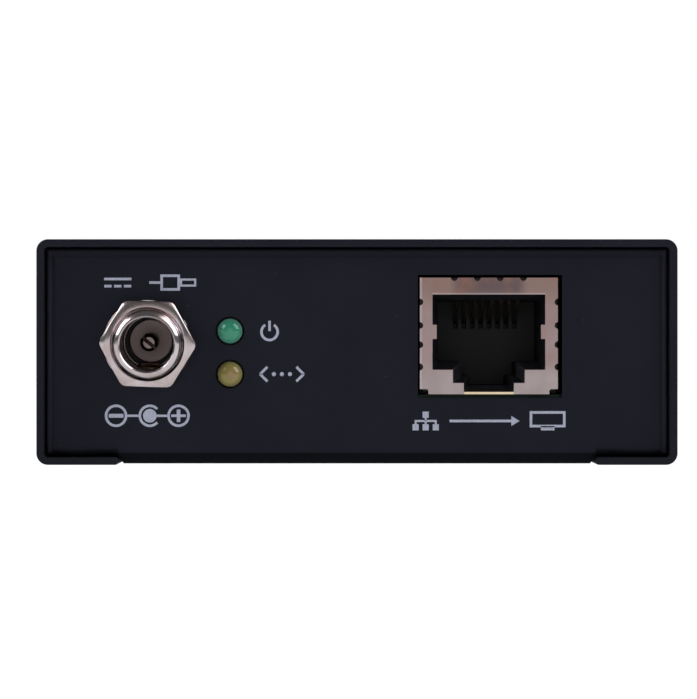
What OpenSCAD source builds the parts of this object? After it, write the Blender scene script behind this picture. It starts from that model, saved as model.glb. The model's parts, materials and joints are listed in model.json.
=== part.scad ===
// Small sheet-metal signal extender box, cable end at the front (-Y).
// Millimetres. +X to the right seen from the front, +Y to the rear, +Z up.
// The origin is the middle of the footprint, on the surface that the box stands on.

/* [Case] */
// Width of the cover
case_w = 75; // [70:1:90]
// Length of the cover, front to rear
case_l = 103; // [100:1:130]
// Height of the cover
case_h = 26.4; // [26:0.2:34]
// Thickness of the cover's sheet
cover_t = 0.9; // [0.7:0.05:1.1]
// Outer bend radius of the cover
cover_bend_r = 1.35; // [1.2:0.05:2]
// Width of each lip under the base
lip_w = 9.5; // [8:0.25:11]
// Thickness of the chassis sheet
chassis_t = 1; // [0.8:0.05:1.1]
// Outer bend radius of the chassis
chassis_bend_r = 1.2; // [1.15:0.05:1.6]
// Air between the cover and the chassis
sheet_gap = 0.15; // [0.1:0.05:0.3]
// Height of the base's underside in the middle
base_rise = 0.1; // [0.1:0.05:0.4]
// How far each end panel sits inside the cover's edge
panel_recess = 1.2; // [0.8:0.1:2]
// Depth of the flanges round each end panel
flange_l = 8; // [5:0.5:10]
// Gap between two flanges behind a corner
flange_notch = 0.2; // [0.1:0.05:0.5]

/* [Board] */
// Thickness of the circuit board
board_t = 1.6; // [1:0.2:2]
// Diameter of the board standoffs
standoff_d = 5; // [4.5:0.1:5.5]
// Air between the board and each end panel
board_end_gap = 0.5; // [0.3:0.1:1]
// Air between the board and each side flange
board_side_gap = 1.4; // [1:0.1:2]
// Board screw to the board's side edge
board_hole_inset = 3; // [2.6:0.1:3.6]
// Board screw to the end panel's outer face
board_hole_setback = 17; // [16:0.5:18]

/* [Fasteners] */
// Diameter of a board screw's shank
board_screw_d = 2.5; // [2:0.1:3]
// Diameter of a board screw's head
board_screw_head_d = 4.7; // [4:0.1:5]
// Height of a board screw's head
board_screw_head_h = 1.6; // [1.2:0.1:2]
// Diameter of a cover screw's shank
cover_screw_d = 2.9; // [2.4:0.1:3.2]
// Diameter of a cover screw's countersunk head
cover_screw_head_d = 5.2; // [4.6:0.1:5.6]
// Depth of a cover screw's countersunk head
cover_screw_head_h = 1.6; // [1.4:0.1:1.9]
// Board screw to the next cover screw, along the box
cover_screw_step = 11.3; // [9:0.1:14]
// Diameter of a clinch nut
clinch_nut_d = 6.3; // [5.5:0.1:7]
// Height of a clinch nut above the base
clinch_nut_h = 1.6; // [1.2:0.1:2]
// Clearance round a screw's shank in its nut or standoff
screw_clearance = 0.05; // [0.02:0.01:0.1]

/* [Power jack] */
// The jack's axis to the cover's left side
jack_inset = 13.05; // [12:0.05:15]
// Height of the jack's axis above the board
jack_rise = 6.05; // [5.9:0.05:6.6]
// How far the nut has pulled the jack out of square, its mouth downwards
jack_tilt = 3; // [0:0.5:3]
// Diameter of the threaded barrel
barrel_d = 8; // [7.6:0.1:8.2]
// Diameter of the barrel's bore
barrel_bore_d = 6.3; // [6.1:0.1:6.5]
// Reach of the barrel beyond the panel
barrel_proud = 4; // [3.8:0.1:4.5]
// Depth of the bore, rim to insulator
jack_depth = 9.5; // [9:0.1:10]
// Across the flats of the nut
nut_af = 10; // [9.8:0.1:11]
// Thickness of the nut
nut_h = 2; // [1.8:0.1:2.2]
// How far the nut is turned
nut_turn = 1.8; // [0:0.1:30]
// Diameter of the washer
washer_d = 10.3; // [10.1:0.1:11]
// Thickness of the washer
washer_t = 0.5; // [0.3:0.1:0.7]
// Diameter of the centre pin
pin_d = 2.1; // [1.9:0.05:2.5]
// Width of the slot in the centre pin
pin_slot_w = 0.35; // [0.2:0.05:0.4]
// Turn of the slot in the centre pin
pin_slot_turn = -40; // [-90:5:90]

/* [Lamps] */
// The power jack's axis to the lamps
led_step = 9.56; // [9:0.02:12]
// Height of the lower lamp's axis above the board
led_rise = 2.42; // [2.3:0.02:2.6]
// Spacing of the two lamps
led_pitch = 5.05; // [4.6:0.05:5.3]
// Diameter of a lamp
led_d = 3; // [2.8:0.1:3.2]
// Reach of a lamp beyond the panel
led_proud = 1; // [0.5:0.1:1.5]
// Clearance round a lamp in the panel
led_play = 0.2; // [0.1:0.05:0.3]

/* [Modular socket] */
// The socket's middle to the cover's right side
rj_inset = 22.04; // [20:0.02:24]
// Width of the shield
rj_w = 16.2; // [15.8:0.1:16.8]
// Height of the shield
rj_h = 13.7; // [13.4:0.1:14.2]
// Depth of the shield
rj_l = 21.3; // [19:0.1:23]
// Thickness of the shield's sheet
rj_t = 0.3; // [0.2:0.05:0.35]
// Reach of the shield beyond the panel
rj_proud = 0.3; // [0:0.05:0.6]
// Width of the plug cavity
rj_cavity_w = 11.9; // [11.7:0.05:12.1]
// Height of the plug cavity
rj_cavity_h = 7.2; // [7:0.05:7.4]
// Depth of the plug cavity
rj_cavity_l = 12; // [11.5:0.1:13]
// Spacing of the contacts
rj_pitch = 1.016; // [0.98:0.002:1.05]
// Width of a contact
rj_contact_w = 0.35; // [0.3:0.01:0.4]
// Slope of the contacts at rest
rj_contact_slope = 15; // [12:0.5:16]

/* [HDMI socket] */
// The socket's middle to the cover's right side
hdmi_inset = 23.5; // [20:0.5:26]
// Width of the shell
hdmi_w = 15; // [14.8:0.1:15.4]
// Height of the shell
hdmi_h = 5.55; // [5.4:0.05:5.8]
// Depth of the shell
hdmi_l = 11.2; // [10:0.1:12.5]
// Thickness of the shell
hdmi_t = 0.4; // [0.3:0.05:0.5]
// Reach of the shell beyond the rear panel
hdmi_proud = 0.4; // [0:0.1:1]
// Spacing of the contacts in one row
hdmi_pitch = 1; // [0.98:0.01:1.02]

/* [Infrared jacks] */
// The outer jack's axis to the cover's left side
ir_inset = 13.5; // [12:0.5:16]
// Spacing of the two jacks
ir_pitch = 13; // [10:0.5:14]
// Height of the jacks' axes above the board
ir_rise = 3.5; // [3.4:0.1:3.8]
// Diameter of a jack's bore
ir_bore_d = 3.6; // [3.55:0.01:3.7]
// Diameter of a jack's collar
ir_collar_d = 6; // [5.6:0.1:6.4]
// Reach of a collar beyond the rear panel
ir_proud = 1.6; // [1:0.1:2]

/* [Board parts] */
// Side of the receiver chip
receiver_chip_w = 17; // [14:0.5:19]
// Height of the receiver chip
receiver_chip_h = 1.4; // [1:0.1:1.8]
// Thickness of the thermal pad
thermal_pad_t = 0.5; // [0.3:0.1:1]
// Side of the heat sink
heat_sink_w = 22; // [20:0.5:24]
// Height of the heat sink
heat_sink_h = 8; // [5:0.5:10]
// Number of fins on the heat sink
heat_sink_fins = 9; // [5:1:11]
// Diameter of a capacitor can
capacitor_d = 6.3; // [5:0.1:7]
// Height of a capacitor can
capacitor_h = 7.7; // [5:0.1:10]

/* [Hidden] */
$fn = 48;

// Overrun of every cut past the face that it opens
over = 0.5;
// Clearance between pieces that sit on or in each other
seat = 0.05;
// Thickness of a slice that only carries an outline
sliver = 0.01;
// Facets of the curves inside a hull
hull_fn = 32;

// Where the sheets lie
lip_end_x = case_w / 2 - lip_w;
side_under_z = cover_t + sheet_gap;
side_base_z = side_under_z + chassis_t;
chassis_top_z = case_h - cover_t - sheet_gap;
chassis_edge_x = case_w / 2 - cover_t - sheet_gap;
// The step that lifts the base over the lips
joggle_in_x = lip_end_x - 0.6 * chassis_t;
joggle_out_x = lip_end_x + sheet_gap + cover_t / 20;
joggle_wall_z = side_under_z + 2 * chassis_bend_r;
strip_end_x = chassis_edge_x - chassis_bend_r - flange_notch;

// Where the sockets stand, left and right of the middle
jack_x = jack_inset - case_w / 2;
led_x = jack_x + led_step;
rj_x = case_w / 2 - rj_inset;
hdmi_x = case_w / 2 - hdmi_inset;
ir_xs = [ir_inset + ir_pitch - case_w / 2, ir_inset - case_w / 2];

// The jack's rim and the rear collars set how far the box reaches past its panels
rim_chamfer = 0.65;
rim_r = barrel_d / 2 - rim_chamfer;
jack_reach = barrel_proud * cos(jack_tilt) + rim_r * sin(jack_tilt);
mid_y = (jack_reach - ir_proud) / 2;
front_y = mid_y - case_l / 2;
rear_y = mid_y + case_l / 2;
panel_y = front_y + panel_recess;
rear_panel_y = rear_y - panel_recess;

// The board, whose standoffs take a share of the height that the modular socket leaves free
free_h = chassis_top_z - chassis_t - side_base_z - board_t - seat - rj_h;
standoff_share = 0.654;
standoff_h = standoff_share * free_h;
board_z = side_base_z + standoff_h;
board_top_z = board_z + board_t;
board_edge_x = chassis_edge_x - chassis_t - board_side_gap;
board_front_y = panel_y + chassis_t + board_end_gap;
board_rear_y = rear_panel_y - chassis_t - board_end_gap;
board_hole_x = board_edge_x - board_hole_inset;
board_hole_ys = [panel_y + board_hole_setback, rear_panel_y - board_hole_setback];
cover_screw_x = case_w / 2 - lip_w / 2;
cover_screw_ys = [board_hole_ys[0] + cover_screw_step, board_hole_ys[1] - cover_screw_step];
cover_screw_sink = 0.05;
cover_screw_l = side_base_z + clinch_nut_h - 2 * cover_screw_sink;
cross_w = 0.7;
cross_depth = 0.9;

// The power jack, in its own frame: Z out of the mouth, zero on the panel's face
jack_z = board_top_z + jack_rise;
thread_pitch = 0.75;
thread_depth = 0.3;
barrel_hole_play = 0.3;
washer_bore_play = 0.15;
washer_shift = 0.12;
washer_seat_z = washer_d / 2 * tan(jack_tilt) + seat;
nut_seat_z = washer_seat_z + washer_t;
nut_corner_share = 0.565;
nut_corner_r = nut_af * nut_corner_share;
nut_face_inset = 0.15;
nut_chamfer_drop = 0.45;
nut_mouth_chamfer = 0.3;
shoulder_d = 10;
shoulder_h = 1.5;
shoulder_z = -chassis_t / cos(jack_tilt) - shoulder_d / 2 * tan(jack_tilt) - seat;
jack_body_z = shoulder_z - shoulder_h - seat;
jack_body_w = 10.6;
jack_body_l = 10.2;
jack_body_end_z = jack_body_z - jack_body_l;
jack_body_top = shoulder_d / 2 + seat;
jack_body_foot = -(jack_rise - seat - jack_body_z * sin(jack_tilt)) / cos(jack_tilt);
bore_floor_z = barrel_proud - jack_depth;
insulator_d = 5;
insulator_h = 1.8;
sleeve_t = 0.2;
sleeve_l = 3;
sleeve_r = barrel_bore_d / 2 - sleeve_t;
pin_tip_z = barrel_proud - jack_depth / 2;
pin_slot_l = 4;
pin_tip_r = pin_d / 3;
pin_shank_d = 0.75 * pin_d;
jack_spring_t = 0.25;
jack_spring_w = 2.4;
jack_spring_l = 8;
jack_spring_inset = 1.5;
jack_spring_end_z = jack_body_end_z + jack_spring_inset;
jack_spring_y = -barrel_bore_d / 2 - 1.4 * jack_spring_t;
jack_spring_bump_r = 0.85;
jack_spring_room = 1.6;
terminal_t = 0.3;
terminal_w = 1.8;
terminal_depth = 1.4;
terminal_front_inset = 3;
terminal_back_inset = 1;
terminal_zs = [jack_body_z - terminal_front_inset, jack_body_end_z + terminal_back_inset];

// The lamps
led_low_z = board_top_z + led_rise;
led_high_z = led_low_z + led_pitch;
led_l = 5.4;
led_foot_d = 3.8;
led_foot_l = 1;
led_holder_w = 4.6;
led_holder_front_y = panel_y + chassis_t + seat;
led_back_y = panel_y - led_proud + led_l;
led_holder_back_y = led_back_y + led_foot_l;
led_lead_w = 0.5;
led_lead_pitch = 2.54;
led_lead_low_reach = 1;
led_lead_high_reach = 2.6;
led_lead_ys = [led_holder_back_y + led_lead_low_reach, led_holder_back_y + led_lead_high_reach];
lead_depth = 1;
lead_hole_play = 0.15;

// The modular socket
rj_z = board_top_z + seat + rj_h / 2;
rj_front_y = panel_y - rj_proud;
rj_back_y = rj_front_y + rj_l;
rj_window_w = 13.2;
rj_window_top = 4.85;
rj_window_bottom = -3.95;
rj_step_w = 8.4;
rj_step_bottom = -5.5;
rj_key_w = 5.85;
rj_tab_w = 0.5;
rj_tab_low = -0.37;
rj_tab_high = 1.33;
rj_relief_r = 0.38;
rj_relief_l = 1;
rj_foot_w = 1;
rj_foot_h = 0.6;
rj_foot_l = 3.6;
rj_foot_r = 0.25;
rj_cut_play = 0.35;
rj_cut_shift_x = 0.14;
rj_cut_shift_z = -0.05;
rj_finger_w = 2.1;
rj_finger_l = 3.4;
rj_finger_bulge = 0.12;
rj_top_relief_shares = [-0.25, -0.083, 0.082, 0.25];
rj_side_relief_shares = [0.29, 0.09, -0.075, -0.265];
rj_top_finger_shares = [-0.167, 0.166];
rj_side_finger_shares = [0.19, -0.17];
rj_peg_w = 1.6;
rj_peg_setback = 9;
rj_peg_y = rj_front_y + rj_peg_setback;
rj_peg_depth = 2.4;
rj_floor_l = 6;
rj_cavity_top = 4.15;
rj_cavity_bottom = rj_cavity_top - rj_cavity_h;
rj_lead_in = 1.1;
rj_latch_w = 6.5;
rj_latch_drop = 1.6;
rj_latch_key_w = 4.5;
rj_latch_key_drop = 2.75;
rj_contact_t = 0.3;
rj_contact_setback = 1.9;
rj_contact_rise = 0.3;
rj_contact_y = rj_front_y + rj_contact_setback;
rj_contact_z = rj_z + rj_cavity_top + rj_contact_rise;
rj_contact_l = 10.9;
rj_slot_play = 0.09;
rj_comb_l = 1.4;
rj_comb_h = 3.9;
rj_comb_rise = 0.7;
rj_comb_top = rj_cavity_top + rj_comb_rise;
rj_tail_w = 0.4;
rj_tail_front_inset = 4.3;
rj_tail_back_inset = 1.8;
rj_tail_ys = [rj_back_y - rj_tail_front_inset, rj_back_y - rj_tail_back_inset];
rj_tail_root_h = 1;

// The HDMI socket
hdmi_z = board_top_z + seat + hdmi_h / 2;
hdmi_mouth_y = rear_panel_y + hdmi_proud;
hdmi_in_y = hdmi_mouth_y - hdmi_l;
hdmi_foot_share = 0.7;
hdmi_waist_share = -0.1;
hdmi_cut_play = 0.35;
hdmi_block_l = 3;
hdmi_tongue_w = 11.4;
hdmi_tongue_t = 1.1;
hdmi_tongue_back = 0.9;
hdmi_contact_w = 0.32;
hdmi_contact_t = 0.12;
hdmi_contact_back = 1.2;
hdmi_tail_t = 0.15;
hdmi_top_contacts = 10;
hdmi_bottom_contacts = 9;
hdmi_peg_w = 1;
hdmi_peg_depth = 2;
hdmi_peg_front_setback = 3.6;
hdmi_peg_back_setback = 9;
hdmi_peg_ys = [hdmi_mouth_y - hdmi_peg_front_setback, hdmi_mouth_y - hdmi_peg_back_setback];

// The infrared jacks
ir_z = board_top_z + ir_rise;
ir_hole_play = 0.2;
ir_body_w = 7.6;
ir_body_l = 12;
ir_body_top = 3.8;
ir_body_face_y = rear_panel_y - chassis_t - seat;
ir_body_end_y = ir_body_face_y - ir_body_l;
ir_collar_root = 2.5;
ir_collar_l = ir_proud + chassis_t + ir_collar_root;
ir_collar_end_y = rear_panel_y + ir_proud - ir_collar_l;
ir_rim_chamfer = 0.3;
ir_bore_l = 9;
ir_spring_t = 0.2;
ir_spring_w = 1.6;
ir_spring_l = 5.6;
ir_spring_z = ir_z + ir_bore_d / 2 + 3 * ir_spring_t;
ir_spring_inset = 1.4;
ir_spring_end_y = ir_body_end_y + ir_spring_inset;
ir_spring_bump_r = 0.75;
ir_spring_room = 1;
ir_terminal_w = 1.2;
ir_terminal_front_inset = 3.5;
ir_terminal_back_inset = 8;
ir_terminal_ys = [ir_body_face_y - ir_terminal_front_inset, ir_body_face_y - ir_terminal_back_inset];

// The parts on the board. A place is a share of the board's half width,
// and a share of the length between the modular socket and the HDMI socket
field_l = hdmi_in_y - rj_back_y;
receiver_chip_shares = [-0.1, 0.485];
heat_sink_base = 1.5;
heat_sink_fin_t = 1;
output_chip_w = 10;
output_chip_h = 1;
output_chip_shares = [-0.1, 0.85];
transformer_size = [15, 12.7, 6];
transformer_share = 0.15;
inductor_w = 7.3;
inductor_h = 4.5;
inductor_r = 1.6;
inductor_shares = [[-0.7, 0.106], [-0.38, 0.106]];
capacitor_base_h = 1.2;
capacitor_base_w = 6.6;
capacitor_groove_r = 0.25;
capacitor_shares = [[-0.7, 0.26], [-0.7, 0.4], [0.65, 0.673]];
crystal_l = 11.2;
crystal_w = 4.6;
crystal_h = 3.6;
crystal_shares = [0.59, 0.515];
small_chip_size = [5, 4, 1.5];
small_chip_leg = [0.4, 1.1, 0.25];
small_chip_shares = [[-0.41, 0.266], [-0.59, 0.557], [-0.65, 0.717], [0.65, 0.368]];
passive_size = [1.6, 0.8, 0.55];
passive_pitch = 2.4;
passive_row_shares = [[-0.7, 0.847], [-0.18, 0.72], [0.2, 0.31], [0.47, 0.805]];
passive_row_counts = [5, 7, 6, 5];

// Helpers

// A block between two corners
module block(lo, hi) {
    translate(lo)
        cube(hi - lo);
}

// A flat outline with rounded corners
module rounded_rect(lo, hi, r) {
    translate([lo.x + r, lo.y])
        square([hi.x - lo.x - 2 * r, hi.y - lo.y]);
    translate([lo.x, lo.y + r])
        square([hi.x - lo.x, hi.y - lo.y - 2 * r]);
    for (x = [lo.x + r, hi.x - r], y = [lo.y + r, hi.y - r])
        translate([x, y])
            circle(r);
}

// An outline drawn in Y and Z, carried along X
module span_x(x0, x1) {
    translate([x0, 0, 0])
        rotate([90, 0, 90])
            linear_extrude(x1 - x0)
                children();
}

// An outline drawn in X and Z, carried along Y
module span_y(y0, y1) {
    translate([0, y1, 0])
        rotate([90, 0, 0])
            linear_extrude(y1 - y0)
                children();
}

// A round bar along Y
module rod_y(x, z, y0, y1, r) {
    translate([x, y0, z])
        rotate([-90, 0, 0])
            cylinder(h = y1 - y0, r = r);
}

// The jack's own frame
module jack_frame() {
    translate([jack_x, panel_y, jack_z])
        rotate([90 + jack_tilt, 0, 0])
            children();
}

// The case

module top_cover() {
    color([0.13, 0.13, 0.15])
        difference() {
            span_y(front_y, rear_y) {
                difference() {
                    rounded_rect([-case_w / 2, 0], [case_w / 2, case_h], cover_bend_r);
                    rounded_rect(
                        [cover_t - case_w / 2, cover_t],
                        [case_w / 2 - cover_t, case_h - cover_t],
                        cover_bend_r - cover_t
                    );
                    translate([-lip_end_x - cover_t / 2, -over])
                        square([2 * lip_end_x + cover_t, cover_t + 2 * over]);
                }
                for (side = [-1, 1])
                    translate([side * (lip_end_x + cover_t / 2), cover_t / 2])
                        circle(cover_t / 2);
            }
            for (side = [-1, 1], y = cover_screw_ys)
                translate([side * cover_screw_x, y, 0])
                    countersink(cover_t);
        }
}

// A countersunk hole from the table upwards
module countersink(depth) {
    slope = (cover_screw_head_d - cover_screw_d) / 2 / cover_screw_head_h;
    translate([0, 0, -over])
        cylinder(
            h = depth + 2 * over,
            r1 = cover_screw_head_d / 2 + seat + over * slope,
            r2 = cover_screw_head_d / 2 + seat - (depth + over) * slope
        );
}

// The folded sheet seen from the side: base, end panels and top flanges
module chassis_outline(under) {
    difference() {
        rounded_rect([panel_y, under], [rear_panel_y, chassis_top_z], chassis_bend_r);
        rounded_rect(
            [panel_y + chassis_t, under + chassis_t],
            [rear_panel_y - chassis_t, chassis_top_z - chassis_t],
            chassis_bend_r - chassis_t
        );
        translate([panel_y + flange_l, chassis_top_z - chassis_t - over])
            square([rear_panel_y - panel_y - 2 * flange_l, chassis_t + 2 * over]);
    }
}

// A thin slice of the sheet's lower part, filled, for the step over the lips
module joggle_slice(x, under, inset) {
    span_x(x, x + sliver)
        intersection() {
            rounded_rect(
                [panel_y + inset, under + inset],
                [rear_panel_y - inset, chassis_top_z],
                chassis_bend_r - inset,
                $fn = hull_fn
            );
            translate([panel_y, under])
                square([rear_panel_y - panel_y, joggle_wall_z - under]);
        }
}

module joggle() {
    difference() {
        hull() {
            joggle_slice(joggle_in_x - sliver, base_rise, 0);
            joggle_slice(joggle_out_x, side_under_z, 0);
        }
        hull() {
            joggle_slice(joggle_in_x - 2 * sliver, base_rise, chassis_t);
            joggle_slice(joggle_out_x + sliver, side_under_z, chassis_t);
        }
    }
    span_x(joggle_in_x - sliver, joggle_out_x + sliver)
        difference() {
            chassis_outline(side_under_z);
            translate([panel_y - over, 0])
                square([rear_panel_y - panel_y + 2 * over, joggle_wall_z - sliver]);
        }
}

// The flange at the right-hand edge of the front panel, seen from above
module side_flange_outline() {
    bend = [chassis_edge_x - chassis_bend_r, panel_y + chassis_bend_r];
    intersection() {
        translate(bend)
            difference() {
                circle(chassis_bend_r);
                circle(chassis_bend_r - chassis_t);
            }
        translate([bend.x, panel_y])
            square([chassis_bend_r, chassis_bend_r]);
    }
    translate([strip_end_x - sliver, panel_y])
        square([bend.x - strip_end_x + sliver, chassis_t]);
    translate([chassis_edge_x - chassis_t, bend.y])
        square([chassis_t, flange_l - chassis_bend_r]);
}

module side_flange() {
    low = side_base_z + flange_notch;
    high = chassis_top_z - chassis_bend_r - flange_notch;
    translate([0, 0, low])
        linear_extrude(high - low)
            side_flange_outline();
}

// The panel's edge carried round both bends, so that its corners are closed
module panel_corners() {
    intersection() {
        span_x(strip_end_x - sliver, chassis_edge_x)
            chassis_outline(side_under_z);
        translate([0, 0, side_under_z])
            linear_extrude(chassis_top_z - side_under_z)
                side_flange_outline();
        block(
            [strip_end_x - sliver, panel_y, side_under_z],
            [chassis_edge_x, panel_y + chassis_bend_r, chassis_top_z]
        );
    }
}

module chassis_shell() {
    span_x(-joggle_in_x, joggle_in_x)
        chassis_outline(base_rise);
    for (side = [0, 1])
        mirror([side, 0, 0]) {
            joggle();
            span_x(joggle_out_x, strip_end_x)
                chassis_outline(side_under_z);
            block(
                [strip_end_x - sliver, panel_y + chassis_bend_r + flange_notch, side_under_z],
                [chassis_edge_x, rear_panel_y - chassis_bend_r - flange_notch, side_base_z]
            );
            for (end = [0, 1])
                translate([0, end * (panel_y + rear_panel_y), 0])
                    mirror([0, end, 0]) {
                        side_flange();
                        panel_corners();
                    }
        }
}

module chassis() {
    color([0.12, 0.12, 0.14])
        difference() {
            chassis_shell();
            front_openings();
            rear_openings();
            for (side = [-1, 1], y = cover_screw_ys)
                translate([side * cover_screw_x, y, side_under_z - over])
                    cylinder(h = chassis_t + 2 * over, d = screw_cone_d(side_under_z) + 2 * screw_clearance);
        }
}

// Diameter of a cover screw's head at a height above the table
function screw_cone_d(z) =
    cover_screw_head_d - (cover_screw_head_d - cover_screw_d) * (z - cover_screw_sink) / cover_screw_head_h;

module front_openings() {
    y0 = panel_y - over;
    y1 = panel_y + chassis_t + over;
    jack_frame()
        translate([0, 0, -chassis_t - shoulder_h])
            cylinder(h = chassis_t + 2 * shoulder_h, d = barrel_d + 2 * barrel_hole_play);
    for (z = [led_low_z, led_high_z])
        rod_y(led_x, z, y0, y1, led_d / 2 + led_play);
    block(
        [
            rj_x + rj_cut_shift_x - rj_w / 2 - rj_cut_play,
            y0,
            rj_z + rj_cut_shift_z - rj_h / 2 - rj_cut_play
        ],
        [
            rj_x + rj_cut_shift_x + rj_w / 2 + rj_cut_play,
            y1,
            rj_z + rj_cut_shift_z + rj_h / 2 + rj_cut_play
        ]
    );
}

module rear_openings() {
    y0 = rear_panel_y - chassis_t - over;
    y1 = rear_panel_y + over;
    span_y(y0, y1)
        hdmi_outline(hdmi_cut_play);
    for (x = ir_xs)
        rod_y(x, ir_z, y0, y1, ir_collar_d / 2 + ir_hole_play);
}

// The fasteners

// A cross recess cut downwards from the top of a head
module cross_recess(w, depth, reach) {
    for (turn = [0, 90])
        rotate([0, 0, turn])
            translate([-reach / 2, -w / 2, -depth])
                cube([reach, w, depth + over]);
}

module cover_screws() {
    color("dimgray")
        for (side = [-1, 1], y = cover_screw_ys)
            translate([side * cover_screw_x, y, cover_screw_sink])
                difference() {
                    union() {
                        cylinder(h = cover_screw_head_h, d1 = cover_screw_head_d, d2 = cover_screw_d);
                        cylinder(h = cover_screw_l, d = cover_screw_d);
                    }
                    rotate([180, 0, 0])
                        cross_recess(cross_w, cross_depth, cover_screw_d);
                }
}

module clinch_nuts() {
    color("silver")
        for (side = [-1, 1], y = cover_screw_ys)
            translate([side * cover_screw_x, y, side_base_z])
                difference() {
                    cylinder(h = clinch_nut_h, d = clinch_nut_d);
                    translate([0, 0, -over])
                        cylinder(h = clinch_nut_h + 2 * over, d = cover_screw_d + 2 * screw_clearance);
                }
}

module board_standoffs() {
    color("silver")
        for (side = [-1, 1], y = board_hole_ys)
            translate([side * board_hole_x, y, side_base_z])
                difference() {
                    cylinder(h = standoff_h, d = standoff_d);
                    translate([0, 0, -over])
                        cylinder(h = standoff_h + 2 * over, d = board_screw_d + 2 * screw_clearance);
                }
}

module board_screws() {
    color("silver")
        for (side = [-1, 1], y = board_hole_ys)
            translate([side * board_hole_x, y, board_top_z])
                difference() {
                    union() {
                        translate([0, 0, -board_t - standoff_h / 2])
                            cylinder(h = board_t + standoff_h / 2, d = board_screw_d);
                        rotate_extrude()
                            board_screw_head_outline();
                    }
                    translate([0, 0, board_screw_head_h])
                        cross_recess(cross_w, cross_depth, board_screw_d);
                }
}

module board_screw_head_outline() {
    corner = board_screw_head_h / 3;
    polygon([
        [0, 0],
        [board_screw_head_d / 2, 0],
        [board_screw_head_d / 2, board_screw_head_h - corner],
        [board_screw_head_d / 2 - corner, board_screw_head_h],
        [0, board_screw_head_h]
    ]);
}

// The board

module circuit_board() {
    color("darkgreen")
        difference() {
            block([-board_edge_x, board_front_y, board_z], [board_edge_x, board_rear_y, board_top_z]);
            for (side = [-1, 1], y = board_hole_ys)
                board_hole(side * board_hole_x, y, board_screw_d + 2 * screw_clearance);
            for (side = [-1, 1], y = led_lead_ys)
                board_hole(led_x + side * led_lead_pitch / 2, y, 2 * led_lead_w);
            for (i = [0:7])
                board_hole(rj_contact_x(i), rj_tail_ys[i % 2], 2 * rj_tail_w);
            for (side = [-1, 1])
                board_slot(
                    rj_x + side * (rj_w - rj_t) / 2,
                    rj_peg_y,
                    rj_t + 2 * lead_hole_play,
                    rj_peg_w + 2 * lead_hole_play
                );
            for (side = [-1, 1], y = hdmi_peg_ys)
                board_slot(
                    hdmi_x + side * (hdmi_w - hdmi_t) / 2,
                    y,
                    hdmi_t + 2 * lead_hole_play,
                    hdmi_peg_w + 2 * lead_hole_play
                );
            for (x = ir_xs, y = ir_terminal_ys)
                board_slot(x, y, ir_terminal_w + 2 * lead_hole_play, terminal_t + 2 * lead_hole_play);
            for (z = terminal_zs)
                board_slot(
                    jack_x,
                    panel_y - z * cos(jack_tilt) - jack_body_foot * sin(jack_tilt),
                    terminal_w + 2 * lead_hole_play,
                    terminal_t + 4 * lead_hole_play
                );
        }
}

module board_hole(x, y, d) {
    translate([x, y, board_z - over])
        cylinder(h = board_t + 2 * over, d = d);
}

module board_slot(x, y, w, l) {
    block([x - w / 2, y - l / 2, board_z - over], [x + w / 2, y + l / 2, board_top_z + over]);
}

// The power jack

module dc_jack_barrel() {
    turns = floor((barrel_proud - rim_chamfer - shoulder_z) / thread_pitch) - 1;
    color("silver")
        jack_frame()
            rotate_extrude()
                difference() {
                    polygon([
                        [barrel_bore_d / 2, shoulder_z - shoulder_h],
                        [shoulder_d / 2, shoulder_z - shoulder_h],
                        [shoulder_d / 2, shoulder_z],
                        [barrel_d / 2, shoulder_z],
                        [barrel_d / 2, barrel_proud - rim_chamfer],
                        [rim_r, barrel_proud],
                        [barrel_bore_d / 2 + thread_depth / 2, barrel_proud],
                        [barrel_bore_d / 2, barrel_proud - thread_depth / 2]
                    ]);
                    for (i = [0:turns])
                        translate([barrel_d / 2, barrel_proud - rim_chamfer - (i + 0.8) * thread_pitch])
                            thread_groove();
                }
}

// The section of one thread groove, its mouth on the barrel's surface
module thread_groove() {
    polygon([
        [-thread_depth, 0],
        [thread_depth / 2, thread_pitch / 2],
        [thread_depth / 2, -thread_pitch / 2]
    ]);
}

module dc_jack_nut() {
    bore_r = barrel_d / 2 + seat;
    color("silver")
        jack_frame()
            translate([0, 0, nut_seat_z])
                rotate([0, 0, -nut_turn])
                    intersection() {
                        cylinder(h = nut_h, d = nut_af / cos(30), $fn = 6);
                        rotate_extrude()
                            polygon([
                                [bore_r, 0],
                                [nut_corner_r, 0],
                                [nut_corner_r, nut_h - nut_chamfer_drop],
                                [nut_af / 2 - nut_face_inset, nut_h],
                                [bore_r + nut_mouth_chamfer, nut_h],
                                [bore_r, nut_h - nut_mouth_chamfer]
                            ]);
                    }
}

module dc_jack_washer() {
    color("silver")
        jack_frame()
            translate([0, 0, washer_seat_z])
                difference() {
                    translate([-washer_shift, 0, 0])
                        cylinder(h = washer_t, d = washer_d);
                    translate([-washer_shift, 0, -over])
                        cylinder(h = washer_t + 2 * over, d = barrel_d + 2 * washer_bore_play);
                }
}

module dc_jack_body() {
    color([0.09, 0.09, 0.1])
        jack_frame()
            difference() {
                block(
                    [-jack_body_w / 2, jack_body_foot, jack_body_end_z],
                    [jack_body_w / 2, jack_body_top, jack_body_z]
                );
                translate([0, 0, bore_floor_z])
                    cylinder(h = jack_body_z - bore_floor_z + over, d = barrel_bore_d);
                translate([0, 0, bore_floor_z - insulator_h])
                    cylinder(h = insulator_h + over, d = insulator_d + 2 * seat);
                translate([0, 0, jack_body_end_z - over])
                    cylinder(h = jack_body_l, d = pin_shank_d + 2 * seat);
                block(
                    [
                        -jack_spring_w / 2 - lead_hole_play,
                        jack_spring_y - jack_spring_room,
                        jack_spring_end_z - jack_spring_t
                    ],
                    [jack_spring_w / 2 + lead_hole_play, -insulator_d / 2 - 3 * seat, jack_body_z + over]
                );
            }
}

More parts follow.
